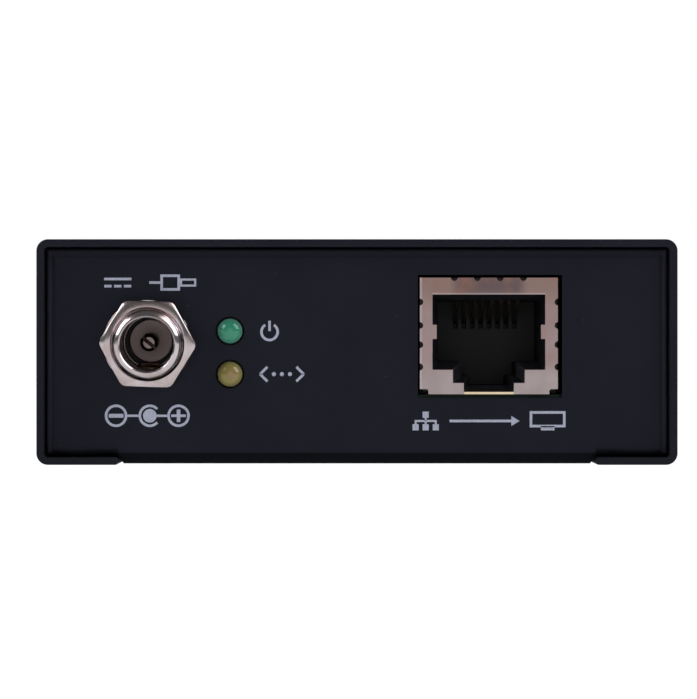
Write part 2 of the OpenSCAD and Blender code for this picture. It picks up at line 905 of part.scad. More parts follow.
module dc_jack_sleeve() {
    color("silver")
        jack_frame()
            difference() {
                translate([0, 0, bore_floor_z])
                    cylinder(h = sleeve_l, r = barrel_bore_d / 2 - seat);
                translate([0, 0, bore_floor_z - over])
                    cylinder(h = sleeve_l + 2 * over, r = sleeve_r);
                translate([-jack_spring_w / 2 - lead_hole_play, -barrel_bore_d, bore_floor_z - over])
                    cube([jack_spring_w + 2 * lead_hole_play, barrel_bore_d, sleeve_l + 2 * over]);
            }
}

module dc_jack_insulator() {
    color([0.42, 0.37, 0.37])
        jack_frame()
            translate([0, 0, bore_floor_z - insulator_h + seat])
                difference() {
                    cylinder(h = insulator_h - seat, d = insulator_d);
                    translate([0, 0, -over])
                        cylinder(h = insulator_h + 2 * over, d = pin_shank_d + 2 * seat);
                }
}

module dc_jack_pin() {
    color("silver")
        jack_frame()
            difference() {
                rotate_extrude()
                    polygon([
                        [0, jack_body_end_z - terminal_depth],
                        [pin_shank_d / 2, jack_body_end_z - terminal_depth],
                        [pin_shank_d / 2, bore_floor_z + 2 * seat],
                        [pin_d / 2, bore_floor_z + 2 * seat],
                        [pin_d / 2, pin_tip_z - pin_d / 4],
                        [pin_tip_r, pin_tip_z],
                        [0, pin_tip_z]
                    ]);
                rotate([0, 0, pin_slot_turn])
                    translate([-pin_d, -pin_slot_w / 2, pin_tip_z - pin_slot_l])
                        cube([2 * pin_d, pin_slot_w, pin_slot_l + over]);
            }
}

// A leaf in the floor of the bore, held at its inner end
module dc_jack_spring() {
    bump_z = jack_spring_end_z + jack_spring_l - jack_spring_bump_r;
    color("goldenrod")
        jack_frame() {
            block(
                [-jack_spring_w / 2, jack_spring_y - jack_spring_t, jack_spring_end_z],
                [jack_spring_w / 2, jack_spring_y, jack_spring_end_z + jack_spring_l]
            );
            intersection() {
                translate([-jack_spring_w / 2, jack_spring_y, bump_z])
                    rotate([0, 90, 0])
                        cylinder(h = jack_spring_w, r = jack_spring_bump_r);
                block(
                    [-jack_spring_w, jack_spring_y - jack_spring_t, bump_z - jack_spring_bump_r],
                    [jack_spring_w, jack_spring_y + jack_spring_bump_r, bump_z + jack_spring_bump_r]
                );
            }
        }
}

module dc_jack_terminals() {
    tail_z = board_z - terminal_depth - board_top_z;
    color("silver")
        for (z = terminal_zs)
            translate([jack_x, panel_y - z * cos(jack_tilt) - jack_body_foot * sin(jack_tilt), board_top_z])
                block(
                    [-terminal_w / 2, -terminal_t / 2, tail_z],
                    [terminal_w / 2, terminal_t / 2, (jack_body_z - z) * sin(jack_tilt)]
                );
}

// The lamps

module led_holder() {
    color([0.07, 0.07, 0.08])
        difference() {
            block(
                [led_x - led_holder_w / 2, led_holder_front_y, board_top_z],
                [led_x + led_holder_w / 2, led_holder_back_y, led_high_z + led_holder_w / 2]
            );
            for (z = [led_low_z, led_high_z]) {
                rod_y(led_x, z, led_holder_front_y - over, led_back_y + over, led_d / 2 + seat);
                rod_y(led_x, z, led_back_y - seat, led_holder_back_y + over, led_foot_d / 2 + seat);
            }
        }
}

// One lamp: a round dome on a barrel with a foot
module lamp(z) {
    translate([led_x, led_holder_back_y, z])
        rotate([90, 0, 0])
            rotate_extrude()
                lamp_outline();
}

module lamp_outline() {
    length = led_l + led_foot_l;
    square([led_foot_d / 2, led_foot_l]);
    square([led_d / 2, length - led_d / 2]);
    intersection() {
        translate([0, length - led_d / 2])
            circle(led_d / 2);
        square([led_d, length]);
    }
}

module power_led() {
    color([0.2, 0.75, 0.5])
        lamp(led_high_z);
}

module link_led() {
    color([0.8, 0.7, 0.25])
        lamp(led_low_z);
}

// Two leads from each lamp, back and down through the board
module led_leads() {
    color("silver")
        for (i = [0, 1], side = [-1, 1]) {
            x = led_x + side * led_lead_pitch / 2 - led_lead_w / 2;
            z = [led_low_z, led_high_z][i] - led_lead_w / 2;
            y = led_lead_ys[i];
            block([x, led_holder_back_y, z], [x + led_lead_w, y + led_lead_w / 2, z + led_lead_w]);
            block(
                [x, y - led_lead_w / 2, board_z - lead_depth],
                [x + led_lead_w, y + led_lead_w / 2, z + led_lead_w]
            );
        }
}

// The modular socket

function rj_contact_x(i) = rj_x + (i - 3.5) * rj_pitch;

// The window in the shield's face, round the socket's centre
module rj_window() {
    translate([-rj_window_w / 2, rj_window_bottom])
        square([rj_window_w, rj_window_top - rj_window_bottom]);
    translate([-rj_step_w / 2, rj_step_bottom])
        square([rj_step_w, rj_window_bottom - rj_step_bottom + over]);
    translate([-rj_key_w / 2, rj_t - rj_h / 2])
        square([rj_key_w, rj_h / 2]);
}

module rj45_shield() {
    color([0.65, 0.58, 0.58])
        translate([rj_x, 0, rj_z]) {
            difference() {
                block([-rj_w / 2, rj_front_y, -rj_h / 2], [rj_w / 2, rj_back_y, rj_h / 2]);
                block(
                    [rj_t - rj_w / 2, rj_front_y + rj_t, rj_t - rj_h / 2],
                    [rj_w / 2 - rj_t, rj_back_y - rj_t, rj_h / 2 - rj_t]
                );
                block(
                    [rj_t - rj_w / 2, rj_front_y + rj_floor_l, -rj_h / 2 - over],
                    [rj_w / 2 - rj_t, rj_back_y + over, rj_t + seat - rj_h / 2]
                );
                span_y(rj_front_y - over, rj_front_y + rj_t + seat)
                    difference() {
                        rj_window();
                        for (side = [-1, 1])
                            translate([side * (rj_window_w - rj_tab_w) / 2 - rj_tab_w / 2, rj_tab_low])
                                square([rj_tab_w, rj_tab_high - rj_tab_low]);
                    }
                rj_reliefs();
            }
            rj_fingers();
            for (side = [-1, 1])
                translate([side * (rj_w - rj_t) / 2, rj_peg_y, 0])
                    block(
                        [-rj_t / 2, -rj_peg_w / 2, -rj_h / 2 - board_t - rj_peg_depth / 2],
                        [rj_t / 2, rj_peg_w / 2, -rj_h / 2 + rj_t]
                    );
        }
}

// Round nicks beside the spring fingers, and the two lower corners cut away
module rj_reliefs() {
    y1 = rj_front_y + rj_relief_l;
    for (share = rj_top_relief_shares)
        rod_y(share * rj_w, rj_h / 2, rj_front_y - over, y1, rj_relief_r);
    for (side = [-1, 1], share = rj_side_relief_shares)
        rod_y(side * rj_w / 2, share * rj_h, rj_front_y - over, y1, rj_relief_r);
    for (side = [-1, 1])
        translate([side * rj_w / 2, 0, -rj_h / 2])
            span_y(rj_front_y - over, rj_front_y + rj_foot_l)
                offset(rj_foot_r)
                    translate([rj_foot_r - rj_foot_w, -rj_foot_h])
                        square([2 * (rj_foot_w - rj_foot_r), 2 * rj_foot_h - rj_foot_r]);
}

// Two sprung fingers on the top and on each side, bowed out towards the panel
module rj_fingers() {
    bow = [
        [rj_front_y + rj_relief_l, -rj_t / 2],
        [rj_front_y + rj_relief_l + rj_finger_l / 2, rj_finger_bulge],
        [rj_front_y + rj_relief_l + rj_finger_l, -rj_t / 2]
    ];
    for (share = rj_top_finger_shares)
        translate([0, 0, rj_h / 2])
            span_x(share * rj_w - rj_finger_w / 2, share * rj_w + rj_finger_w / 2)
                polygon(bow);
    for (side = [0, 1], share = rj_side_finger_shares)
        mirror([side, 0, 0])
            translate([rj_w / 2, 0, share * rj_h - rj_finger_w / 2])
                linear_extrude(rj_finger_w)
                    polygon([for (p = bow) [p.y, p.x]]);
}

// A slice of the plug's way in: a slab of a given width between two heights
module rj_slab(y, w, low, high) {
    block([-w / 2, y, low], [w / 2, y + sliver, high]);
}

module rj45_insert() {
    face_y = rj_front_y + rj_t + seat;
    inner_y = face_y + rj_lead_in;
    end_y = rj_front_y + rj_cavity_l;
    side = rj_w / 2 - rj_t - seat;
    low = rj_t + seat - rj_h / 2;
    high = rj_h / 2 - rj_t - seat;
    color([0.07, 0.07, 0.08])
        translate([rj_x, 0, rj_z])
            difference() {
                block([-side, face_y, low], [side, rj_back_y - rj_t - seat, high]);
                rj_way_in(face_y, inner_y, end_y, rj_window_w, rj_cavity_w, [
                    rj_window_bottom, rj_cavity_bottom, rj_window_top, rj_cavity_top
                ]);
                rj_way_in(face_y, inner_y, end_y, rj_step_w, rj_latch_w, [
                    rj_step_bottom, rj_cavity_bottom - rj_latch_drop, rj_window_bottom, rj_cavity_top
                ]);
                rj_way_in(face_y, inner_y, end_y, rj_key_w, rj_latch_key_w, [
                    low - over, rj_cavity_bottom - rj_latch_key_drop, rj_window_bottom, rj_cavity_top
                ]);
                rj_contact_room(end_y);
                for (i = [0:7])
                    translate([rj_contact_x(i) - rj_x, rj_tail_ys[i % 2], 0])
                        block(
                            [-rj_tail_w / 2 - seat, -rj_tail_w / 2 - seat, low - over],
                            [rj_tail_w / 2 + seat, rj_tail_w / 2 + seat, low + rj_tail_root_h + seat]
                        );
            }
}

// A tapered mouth and the straight way behind it; heights are mouth low, way low, mouth high, way high
module rj_way_in(face_y, inner_y, end_y, mouth_w, way_w, heights) {
    hull() {
        rj_slab(face_y - sliver, mouth_w, heights[0], heights[2]);
        rj_slab(inner_y, way_w, heights[1], heights[3]);
    }
    block([-way_w / 2, inner_y, heights[1]], [way_w / 2, end_y, heights[3]]);
}

// Slots for the contacts: over the cavity's roof and in its back wall
module rj_contact_room(end_y) {
    w = rj_contact_w / 2 + rj_slot_play;
    for (i = [0:7])
        translate([rj_contact_x(i) - rj_x, 0, 0]) {
            block(
                [-w, rj_contact_y - 2 * rj_contact_t, rj_cavity_top - over],
                [w, end_y, rj_comb_top]
            );
            block(
                [-w, end_y - over, rj_comb_top - rj_comb_h],
                [w, end_y + rj_comb_l, rj_comb_top]
            );
        }
}

// Eight sprung wires that slope down from the front of the roof
module rj45_contacts() {
    color("gold")
        for (i = [0:7])
            translate([rj_contact_x(i), rj_contact_y, rj_contact_z])
                rotate([-rj_contact_slope, 0, 0])
                    block(
                        [-rj_contact_w / 2, 0, -rj_contact_t / 2],
                        [rj_contact_w / 2, rj_contact_l, rj_contact_t / 2]
                    );
}

module rj45_tails() {
    low = rj_z + rj_t + seat - rj_h / 2;
    color("gold")
        for (i = [0:7])
            translate([rj_contact_x(i), rj_tail_ys[i % 2], 0])
                block(
                    [-rj_tail_w / 2, -rj_tail_w / 2, board_z - lead_depth],
                    [rj_tail_w / 2, rj_tail_w / 2, low + rj_tail_root_h]
                );
}

// The HDMI socket

// The shell's outline, grown by a margin
module hdmi_outline(grow) {
    w = hdmi_w / 2 + grow;
    h = hdmi_h / 2 + grow;
    translate([hdmi_x, hdmi_z])
        polygon([
            [-w, h],
            [-w, hdmi_waist_share * hdmi_h],
            [-w * hdmi_foot_share, -h],
            [w * hdmi_foot_share, -h],
            [w, hdmi_waist_share * hdmi_h],
            [w, h]
        ]);
}

module hdmi_shell() {
    color("silver") {
        span_y(hdmi_in_y, hdmi_mouth_y)
            difference() {
                hdmi_outline(0);
                hdmi_outline(-hdmi_t);
            }
        for (side = [-1, 1], y = hdmi_peg_ys)
            translate([hdmi_x + side * (hdmi_w - hdmi_t) / 2, y, 0])
                block(
                    [-hdmi_t / 2, -hdmi_peg_w / 2, board_top_z - hdmi_peg_depth],
                    [hdmi_t / 2, hdmi_peg_w / 2, hdmi_z]
                );
    }
}

// One contact in its place: its blade on the tongue and its tail down to the board
module hdmi_contact(x, top) {
    w = hdmi_contact_w / 2;
    face = hdmi_tongue_t / 2;
    low = top ? face : -face - hdmi_contact_t;
    tail_y = hdmi_in_y - (top ? 2 : 1) * 3 * hdmi_tail_t;
    translate([x, 0, 0]) {
        block(
            [-w, tail_y, hdmi_z + low],
            [w, hdmi_mouth_y - hdmi_tongue_back - hdmi_contact_back, hdmi_z + low + hdmi_contact_t]
        );
        block(
            [-w, tail_y - hdmi_tail_t, board_top_z],
            [w, tail_y, hdmi_z + low + hdmi_contact_t]
        );
    }
}

module hdmi_all_contacts() {
    for (i = [0:hdmi_top_contacts - 1])
        hdmi_contact(hdmi_x + (i - (hdmi_top_contacts - 1) / 2) * hdmi_pitch, true);
    for (i = [0:hdmi_bottom_contacts - 1])
        hdmi_contact(hdmi_x + (i - (hdmi_bottom_contacts - 1) / 2) * hdmi_pitch, false);
}

module hdmi_tongue() {
    color([0.07, 0.07, 0.08])
        difference() {
            union() {
                span_y(hdmi_in_y, hdmi_in_y + hdmi_block_l)
                    hdmi_outline(-hdmi_t - seat);
                block(
                    [hdmi_x - hdmi_tongue_w / 2, hdmi_in_y, hdmi_z - hdmi_tongue_t / 2],
                    [
                        hdmi_x + hdmi_tongue_w / 2,
                        hdmi_mouth_y - hdmi_tongue_back,
                        hdmi_z + hdmi_tongue_t / 2
                    ]
                );
            }
            intersection() {
                hdmi_all_contacts();
                block(
                    [hdmi_x - hdmi_w / 2, hdmi_in_y - over, hdmi_z - hdmi_h / 2],
                    [hdmi_x + hdmi_w / 2, hdmi_in_y + hdmi_block_l + over, hdmi_z + hdmi_h / 2]
                );
            }
        }
}

module hdmi_contacts() {
    color("gold")
        hdmi_all_contacts();
}

// The infrared jacks

module ir_jack_body(x) {
    room = ir_spring_w / 2 + lead_hole_play;
    color([0.07, 0.07, 0.08])
        difference() {
            block(
                [x - ir_body_w / 2, ir_body_end_y, board_top_z],
                [x + ir_body_w / 2, ir_body_face_y, ir_z + ir_body_top]
            );
            rod_y(x, ir_z, ir_collar_end_y - seat, ir_body_face_y + over, ir_collar_d / 2 + seat);
            rod_y(x, ir_z, ir_body_face_y - ir_bore_l, ir_body_face_y, ir_bore_d / 2 + seat);
            block(
                [x - room, ir_spring_end_y - ir_spring_t, ir_z],
                [x + room, ir_spring_end_y + ir_spring_l + 2 * ir_spring_t, ir_spring_z + ir_spring_room]
            );
            for (y = ir_terminal_ys)
                block(
                    [x - ir_terminal_w / 2 - seat, y - terminal_t / 2 - seat, board_top_z - over],
                    [x + ir_terminal_w / 2 + seat, y + terminal_t / 2 + seat, board_top_z + terminal_w / 2]
                );
        }
}

module ir_collar(x) {
    color("silver")
        translate([x, ir_collar_end_y, ir_z])
            rotate([-90, 0, 0])
                rotate_extrude()
                    polygon([
                        [ir_bore_d / 2, 0],
                        [ir_collar_d / 2, 0],
                        [ir_collar_d / 2, ir_collar_l - ir_rim_chamfer],
                        [ir_collar_d / 2 - ir_rim_chamfer, ir_collar_l],
                        [ir_bore_d / 2, ir_collar_l]
                    ]);
}

// A leaf over the bore, held at its inner end
module ir_spring(x) {
    bump_y = ir_spring_end_y + ir_spring_l - ir_spring_bump_r;
    color("goldenrod")
        translate([x, 0, 0]) {
            block(
                [-ir_spring_w / 2, ir_spring_end_y, ir_spring_z],
                [ir_spring_w / 2, ir_spring_end_y + ir_spring_l, ir_spring_z + ir_spring_t]
            );
            intersection() {
                translate([-ir_spring_w / 2, bump_y, ir_spring_z])
                    rotate([0, 90, 0])
                        cylinder(h = ir_spring_w, r = ir_spring_bump_r);
                block(
                    [-ir_spring_w, bump_y - ir_spring_bump_r, ir_spring_z - ir_spring_bump_r],
                    [ir_spring_w, bump_y + ir_spring_bump_r, ir_spring_z + ir_spring_t]
                );
            }
        }
}

module ir_in_jack_body() {
    ir_jack_body(ir_xs[0]);
}

module ir_out_jack_body() {
    ir_jack_body(ir_xs[1]);
}

module ir_in_collar() {
    ir_collar(ir_xs[0]);
}

module ir_out_collar() {
    ir_collar(ir_xs[1]);
}

module ir_in_spring() {
    ir_spring(ir_xs[0]);
}

module ir_out_spring() {
    ir_spring(ir_xs[1]);
}

module ir_jack_terminals() {
    color("silver")
        for (x = ir_xs, y = ir_terminal_ys)
            block(
                [x - ir_terminal_w / 2, y - terminal_t / 2, board_z - lead_depth],
                [x + ir_terminal_w / 2, y + terminal_t / 2, board_top_z + terminal_w / 2 - seat]
            );
}

// The parts on the board

// A place on the board from its shares
function on_board(shares) = [shares.x * board_edge_x, rj_back_y + shares.y * field_l];

// A block on the board, round its centre, from a height above it
module board_part(place, w, l, z, h) {
    translate([place.x - w / 2, place.y - l / 2, board_top_z + z])
        cube([w, l, h]);
}

module receiver_chip() {
    color([0.1, 0.1, 0.11])
        board_part(on_board(receiver_chip_shares), receiver_chip_w, receiver_chip_w, 0, receiver_chip_h);
}

module thermal_pad() {
    color([0.6, 0.65, 0.75])
        board_part(
            on_board(receiver_chip_shares),
            receiver_chip_w,
            receiver_chip_w,
            receiver_chip_h,
            thermal_pad_t
        );
}

module heat_sink() {
    place = on_board(receiver_chip_shares);
    foot = receiver_chip_h + thermal_pad_t;
    step = (heat_sink_w - heat_sink_fin_t) / (heat_sink_fins - 1);
    color([0.15, 0.15, 0.16]) {
        board_part(place, heat_sink_w, heat_sink_w, foot, heat_sink_base);
        for (i = [0:heat_sink_fins - 1])
            board_part(
                [place.x + i * step - (heat_sink_w - heat_sink_fin_t) / 2, place.y],
                heat_sink_fin_t,
                heat_sink_w,
                foot,
                heat_sink_h
            );
    }
}

module output_chip() {
    color([0.1, 0.1, 0.11])
        board_part(on_board(output_chip_shares), output_chip_w, output_chip_w, 0, output_chip_h);
}

module line_transformer() {
    color([0.08, 0.08, 0.09])
        board_part(
            [rj_x, on_board([0, transformer_share]).y],
            transformer_size.x,
            transformer_size.y,
            0,
            transformer_size.z
        );
}

module power_inductors() {
    color([0.25, 0.25, 0.27])
        for (shares = inductor_shares)
            translate(on_board(shares))
                translate([0, 0, board_top_z])
                    linear_extrude(inductor_h)
                        rounded_rect(
                            [-inductor_w / 2, -inductor_w / 2],
                            [inductor_w / 2, inductor_w / 2],
                            inductor_r
                        );
}

module capacitors() {
    for (shares = capacitor_shares)
        translate(on_board(shares))
            translate([0, 0, board_top_z]) {
                color([0.1, 0.1, 0.11])
                    block(
                        [-capacitor_base_w / 2, -capacitor_base_w / 2, 0],
                        [capacitor_base_w / 2, capacitor_base_w / 2, capacitor_base_h]
                    );
                color("silver")
                    rotate_extrude()
                        difference() {
                            square([capacitor_d / 2, capacitor_h]);
                            translate([capacitor_d / 2, 2 * capacitor_base_h])
                                circle(capacitor_groove_r);
                        }
            }
}

module crystal() {
    r = crystal_w / 2;
    color("silver")
        translate(on_board(crystal_shares))
            translate([0, 0, board_top_z])
                linear_extrude(crystal_h) {
                    for (side = [-1, 1])
                        translate([side * (crystal_l / 2 - r), 0])
                            circle(r);
                    translate([r - crystal_l / 2, -r])
                        square([crystal_l - crystal_w, crystal_w]);
                }
}

// Chips with four legs on each long side
module small_chips() {
    lift = small_chip_leg.z / 2;
    step = small_chip_size.x / 4;
    color([0.1, 0.1, 0.11])
        for (shares = small_chip_shares) {
            place = on_board(shares);
            board_part(place, small_chip_size.x, small_chip_size.y, lift, small_chip_size.z - lift);
            for (side = [-1, 1], i = [0:3])
                board_part(
                    place + [(i - 1.5) * step, side * small_chip_size.y / 2],
                    small_chip_leg.x,
                    2 * small_chip_leg.y,
                    0,
                    small_chip_leg.z
                );
        }
}

// Rows of chip resistors and capacitors, each row from its first place to the right
module small_passives() {
    color([0.55, 0.5, 0.42])
        for (row = [0:len(passive_row_counts) - 1], i = [0:passive_row_counts[row] - 1])
            board_part(
                on_board(passive_row_shares[row]) + [i * passive_pitch, 0],
                passive_size.y,
                passive_size.x,
                0,
                passive_size.z
            );
}

top_cover();
chassis();
cover_screws();
clinch_nuts();
circuit_board();
board_standoffs();
board_screws();
dc_jack_barrel();
dc_jack_nut();
dc_jack_washer();
dc_jack_body();
dc_jack_sleeve();
dc_jack_insulator();
dc_jack_pin();
dc_jack_spring();
dc_jack_terminals();
led_holder();
power_led();
link_led();
led_leads();
rj45_shield();
rj45_insert();
rj45_contacts();
rj45_tails();
hdmi_shell();
hdmi_tongue();
hdmi_contacts();
ir_in_jack_body();
ir_out_jack_body();
ir_in_collar();
ir_out_collar();
ir_in_spring();
ir_out_spring();
ir_jack_terminals();
receiver_chip();
thermal_pad();
heat_sink();
output_chip();
line_transformer();
power_inductors();
capacitors();
crystal();
small_chips();
small_passives();
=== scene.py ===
"""The looks of a small sheet-metal signal extender box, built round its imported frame.

The cable end with the power jack, the two lamps and the modular socket faces -Y.
Sizes in the classes are millimetres, apart from the studio's, and every mesh is turned into
metres when it is placed.
"""

from __future__ import annotations

import json
import logging
import math
from dataclasses import dataclass
from enum import Enum
from typing import Callable, Iterable, Union

import bmesh
import bpy
from bmesh.types import BMesh, BMVert
from bpy.types import Material, Mesh, NodeSocket, Object, World
from mathutils import Matrix, Vector


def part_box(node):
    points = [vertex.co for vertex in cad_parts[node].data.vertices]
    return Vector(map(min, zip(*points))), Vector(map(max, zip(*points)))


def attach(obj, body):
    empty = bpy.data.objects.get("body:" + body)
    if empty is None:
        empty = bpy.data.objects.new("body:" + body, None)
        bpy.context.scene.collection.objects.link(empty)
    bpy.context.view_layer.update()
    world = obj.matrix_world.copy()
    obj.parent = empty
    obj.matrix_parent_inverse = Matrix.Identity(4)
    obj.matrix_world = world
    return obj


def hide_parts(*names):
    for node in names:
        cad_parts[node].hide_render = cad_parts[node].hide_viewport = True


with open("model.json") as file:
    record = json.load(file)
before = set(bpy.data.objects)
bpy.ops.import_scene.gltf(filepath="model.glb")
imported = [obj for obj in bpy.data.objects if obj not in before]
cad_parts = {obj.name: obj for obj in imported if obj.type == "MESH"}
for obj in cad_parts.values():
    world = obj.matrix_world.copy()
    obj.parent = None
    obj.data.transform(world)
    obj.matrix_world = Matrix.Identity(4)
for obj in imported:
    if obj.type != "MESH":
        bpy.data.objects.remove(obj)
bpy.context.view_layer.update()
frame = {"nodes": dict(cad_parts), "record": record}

LOG = logging.getLogger("extender")
MM = 0.001
# Points nearer than these are merged, in millimetres, as they come and after a rounding.
MERGE = 0.002
FINE_MERGE = 0.0002
SHARP_ANGLE = math.radians(32)
CREASE_ANGLE = math.radians(35)
FLAT_ANGLE = math.radians(0.5)
WHITE = (1.0, 1.0, 1.0)
# The widths of a printed stroke and of a fine one, in millimetres.
STROKE = 0.3
FINE = 0.24
BODY = "case"
RECORD = frame["record"]
BODY_OF = {node: body for body, nodes in RECORD["behaviour"]["bodies"].items() for node in nodes}
MOUNTS = {mount["name"]: mount for mount in RECORD["mounts"]}

Pair = tuple[float, float]
Point = Pair
Triple = tuple[float, float, float]
Colour = Triple
Term = Union["Value", float, Triple]
Sockets = dict[str, Term]
Signs = list[tuple[Point, Callable[[], None]]]


def operator(operation: str, flipped: bool = False) -> Callable[[Value, Term], Value]:
    """Makes the method of an operator.

    Args:
        operation: The Math node's operation.
        flipped: True where the value stands after the sign.

    Returns:
        The method, which adds that Math node.
    """

    def method(self: Value, other: Term = 0.0) -> Value:
        """Adds the operator's Math node."""
        first, second = (other, self) if flipped else (self, other)
        return self.shader.node("Math", {"operation": operation}, {0: first, 1: second})

    return method


class Value:
    """A shader socket that takes part in Python expressions."""

    __add__ = __radd__ = operator("ADD")
    __sub__ = operator("SUBTRACT")
    __rsub__ = operator("SUBTRACT", flipped=True)
    __mul__ = __rmul__ = operator("MULTIPLY")
    __pow__ = operator("POWER")
    __abs__ = operator("ABSOLUTE")

    def __init__(self, shader: Shader, socket: NodeSocket) -> None:
        """Keeps the socket and the shader that it belongs to."""
        self.shader = shader
        self.socket = socket

    def parts(self) -> list[Value]:
        """Splits a vector into its three numbers."""
        split = self.shader.node("SeparateXYZ", inputs={0: self})
        return [Value(self.shader, output) for output in split.socket.node.outputs]

    def scaled(self, factors: Triple) -> Value:
        """Multiplies a vector by three numbers."""
        return self.shader.node("VectorMath", {"operation": "MULTIPLY"}, {0: self, 1: factors})

    def rings(self) -> Value:
        """Turns a place round a lathe's axis into a vector of its radius and height."""
        x, y, z = self.parts()
        return self.shader.node("CombineXYZ", inputs={0: reach(x, y), 1: z})

    def noise(self, scale: float, detail: float = 3.0) -> Value:
        """Cloudy noise from 0 to 1, with that many lumps a millimetre."""
        inputs = {"Vector": self, "Scale": scale, "Detail": detail}
        return self.shader.node("TexNoise", inputs=inputs)

    def fade(self, start: float, end: float) -> Value:
        """Goes smoothly from 0 where this is start to 1 where it is end."""
        limits = {"Value": self, "From Min": start, "From Max": end}
        return self.shader.node("MapRange", {"interpolation_type": "SMOOTHSTEP"}, limits)

    def mix(self, first: Term, second: Term) -> Value:
        """Mixes two colours, from the first where this is 0 to the second where it is 1."""
        return self.shader.node("Mix", {"data_type": "RGBA"}, {0: self, 6: first, 7: second}, 2)

    def bump(self, depth: float) -> Value:
        """Gives the normal of a relief of that depth in millimetres."""
        return self.shader.node("Bump", inputs={"Height": self, "Distance": depth * MM})


def reach(first: Value, second: Value) -> Value:
    """Gives the distance that two sides at a right angle span."""
    return (first * first + second * second) ** 0.5


class Shader:
    """The node tree of one material or world."""

    def __init__(self, owner: Material | World) -> None:
        """Empties the owner's tree.

        Args:
            owner: What the tree belongs to.
        """
        owner.use_nodes = True
        self.owner = owner
        self.tree = owner.node_tree
        self.tree.nodes.clear()

    def node(
        self,
        kind: str,
        settings: dict[str, object] | None = None,
        inputs: dict[int | str, Term] | None = None,
        output: int | str = 0,
    ) -> Value | None:
        """Adds a node.

        Args:
            kind: The node's type, without the ShaderNode that it starts with.
            settings: Its own settings.
            inputs: The values or links of its sockets.
            output: The output that is wanted.

        Returns:
            That output, or None from a node without outputs.
        """
        made = self.tree.nodes.new("ShaderNode" + kind)
        for name, setting in (settings or {}).items():
            setattr(made, name, setting)
        for key, term in (inputs or {}).items():
            self._feed(made.inputs[key], term)
        return Value(self, made.outputs[output]) if made.outputs else None

    def _feed(self, socket: NodeSocket, term: Term) -> None:
        """Links or sets one socket.

        Args:
            socket: The socket to feed.
            term: A socket wrapper, a number, or a colour or vector of three numbers.
        """
        if isinstance(term, Value):
            self.tree.links.new(term.socket, socket)
        elif socket.type == "RGBA":
            socket.default_value = (*term, 1.0)
        else:
            socket.default_value = term

    def point(self, centre: Vector | None = None, turn: float = 0.0) -> Value:
        """Gives the place on the piece in millimetres.

        Args:
            centre: The point to measure from, in metres.
            turn: The turn of the axes about X, in radians.

        Returns:
            A vector round the centre, along the turned axes.
        """
        inputs = {
            "Vector": self.node("TexCoord", output="Object"),
            "Location": tuple(centre) if centre else (0.0, 0.0, 0.0),
            "Rotation": (turn, 0.0, 0.0),
            "Scale": (MM, MM, MM),
        }
        return self.node("Mapping", {"vector_type": "TEXTURE"}, inputs)

    def by_camera(self, lit: Value, seen: Value, output: str) -> None:
        """Closes the tree with one surface for the light and another for the camera.

        Args:
            lit: The surface that lights the scene.
            seen: The surface that the camera sees.
            output: The kind of the tree's output node.
        """
        path = self.node("LightPath", output="Is Camera Ray")
        surface = self.node("MixShader", inputs={0: path, 1: lit, 2: seen})
        self.node(output, inputs={"Surface": surface})


class Finish:
    """A procedural look, laid out in millimetres."""

    def material(self, name: str, centre: Vector | None = None, turn: float = 0.0) -> Material:
        """Makes the finish's material.

        Args:
            name: The material's name.
            centre: The point that the look is measured from, in metres.
            turn: The turn of its axis from Z about X, in radians.

        Returns:
            The material.
        """
        shader = Shader(bpy.data.materials.new(name))
        surface = shader.node("BsdfPrincipled", inputs=self.sockets(shader.point(centre, turn)))
        shader.node("OutputMaterial", inputs={"Surface": surface})
        return shader.owner

    def sockets(self, point: Value) -> Sockets:
        """Says what the surface's sockets hold at a place on the piece."""
        raise NotImplementedError


@dataclass(frozen=True)
class Mottled(Finish):
    """Two shades in faint clouds under a fine grain, as moulded plastic and epoxy have."""

    colour: Colour
    shade: Colour
    roughness: float
    grains: float = 7.0
    grain_depth: float = 0.006
    grain_detail: float = 3.0
    grain_gloss: float = 0.15
    clouds: float = 0.4
    cloud_detail: float = 3.0
    cloud_fade: Pair | None = None
    cloud_gloss: float = 0.0
    sheen: float = 0.5
    sheen_tint: Colour = WHITE

    def sockets(self, point: Value) -> Sockets:
        """Mixes the shades by the clouds and roughens the surface by the grain.

        Args:
            point: The place on the piece.

        Returns:
            What the surface's sockets hold.
        """
        grain = point.noise(self.grains, self.grain_detail)
        cloud = point.noise(self.clouds, self.cloud_detail)
        roughness = self.roughness + self.grain_gloss * (grain - 0.5)
        if self.cloud_gloss:
            roughness = roughness + self.cloud_gloss * (cloud - 0.5)
        if self.cloud_fade:
            cloud = cloud.fade(*self.cloud_fade)
        return {
            "Base Color": cloud.mix(self.colour, self.shade),
            "Roughness": roughness,
            "Normal": grain.bump(self.grain_depth),
            "Specular IOR Level": self.sheen,
            "Specular Tint": self.sheen_tint,
        }


@dataclass(frozen=True)
class Coat(Mottled):
    """A sprayed and baked coat on sheet metal."""

    grain_detail: float = 2.0
    grain_gloss: float = 0.12
    clouds: float = 0.09
    cloud_detail: float = 4.0
    cloud_fade: Pair = (0.3, 0.7)
    cloud_gloss: float = 0.1
    sheen: float = 0.16
    sheen_tint: Colour = (0.68, 0.74, 1.0)


@dataclass(frozen=True)
class Ink(Mottled):
    """Screen-printed ink, which is thin between the threads of the screen."""

    grains: float = 5.0
    grain_detail: float = 4.0
    grain_gloss: float = 0.2
    clouds: float = 5.0
    cloud_detail: float = 4.0
    cloud_fade: Pair = (0.3, 0.6)


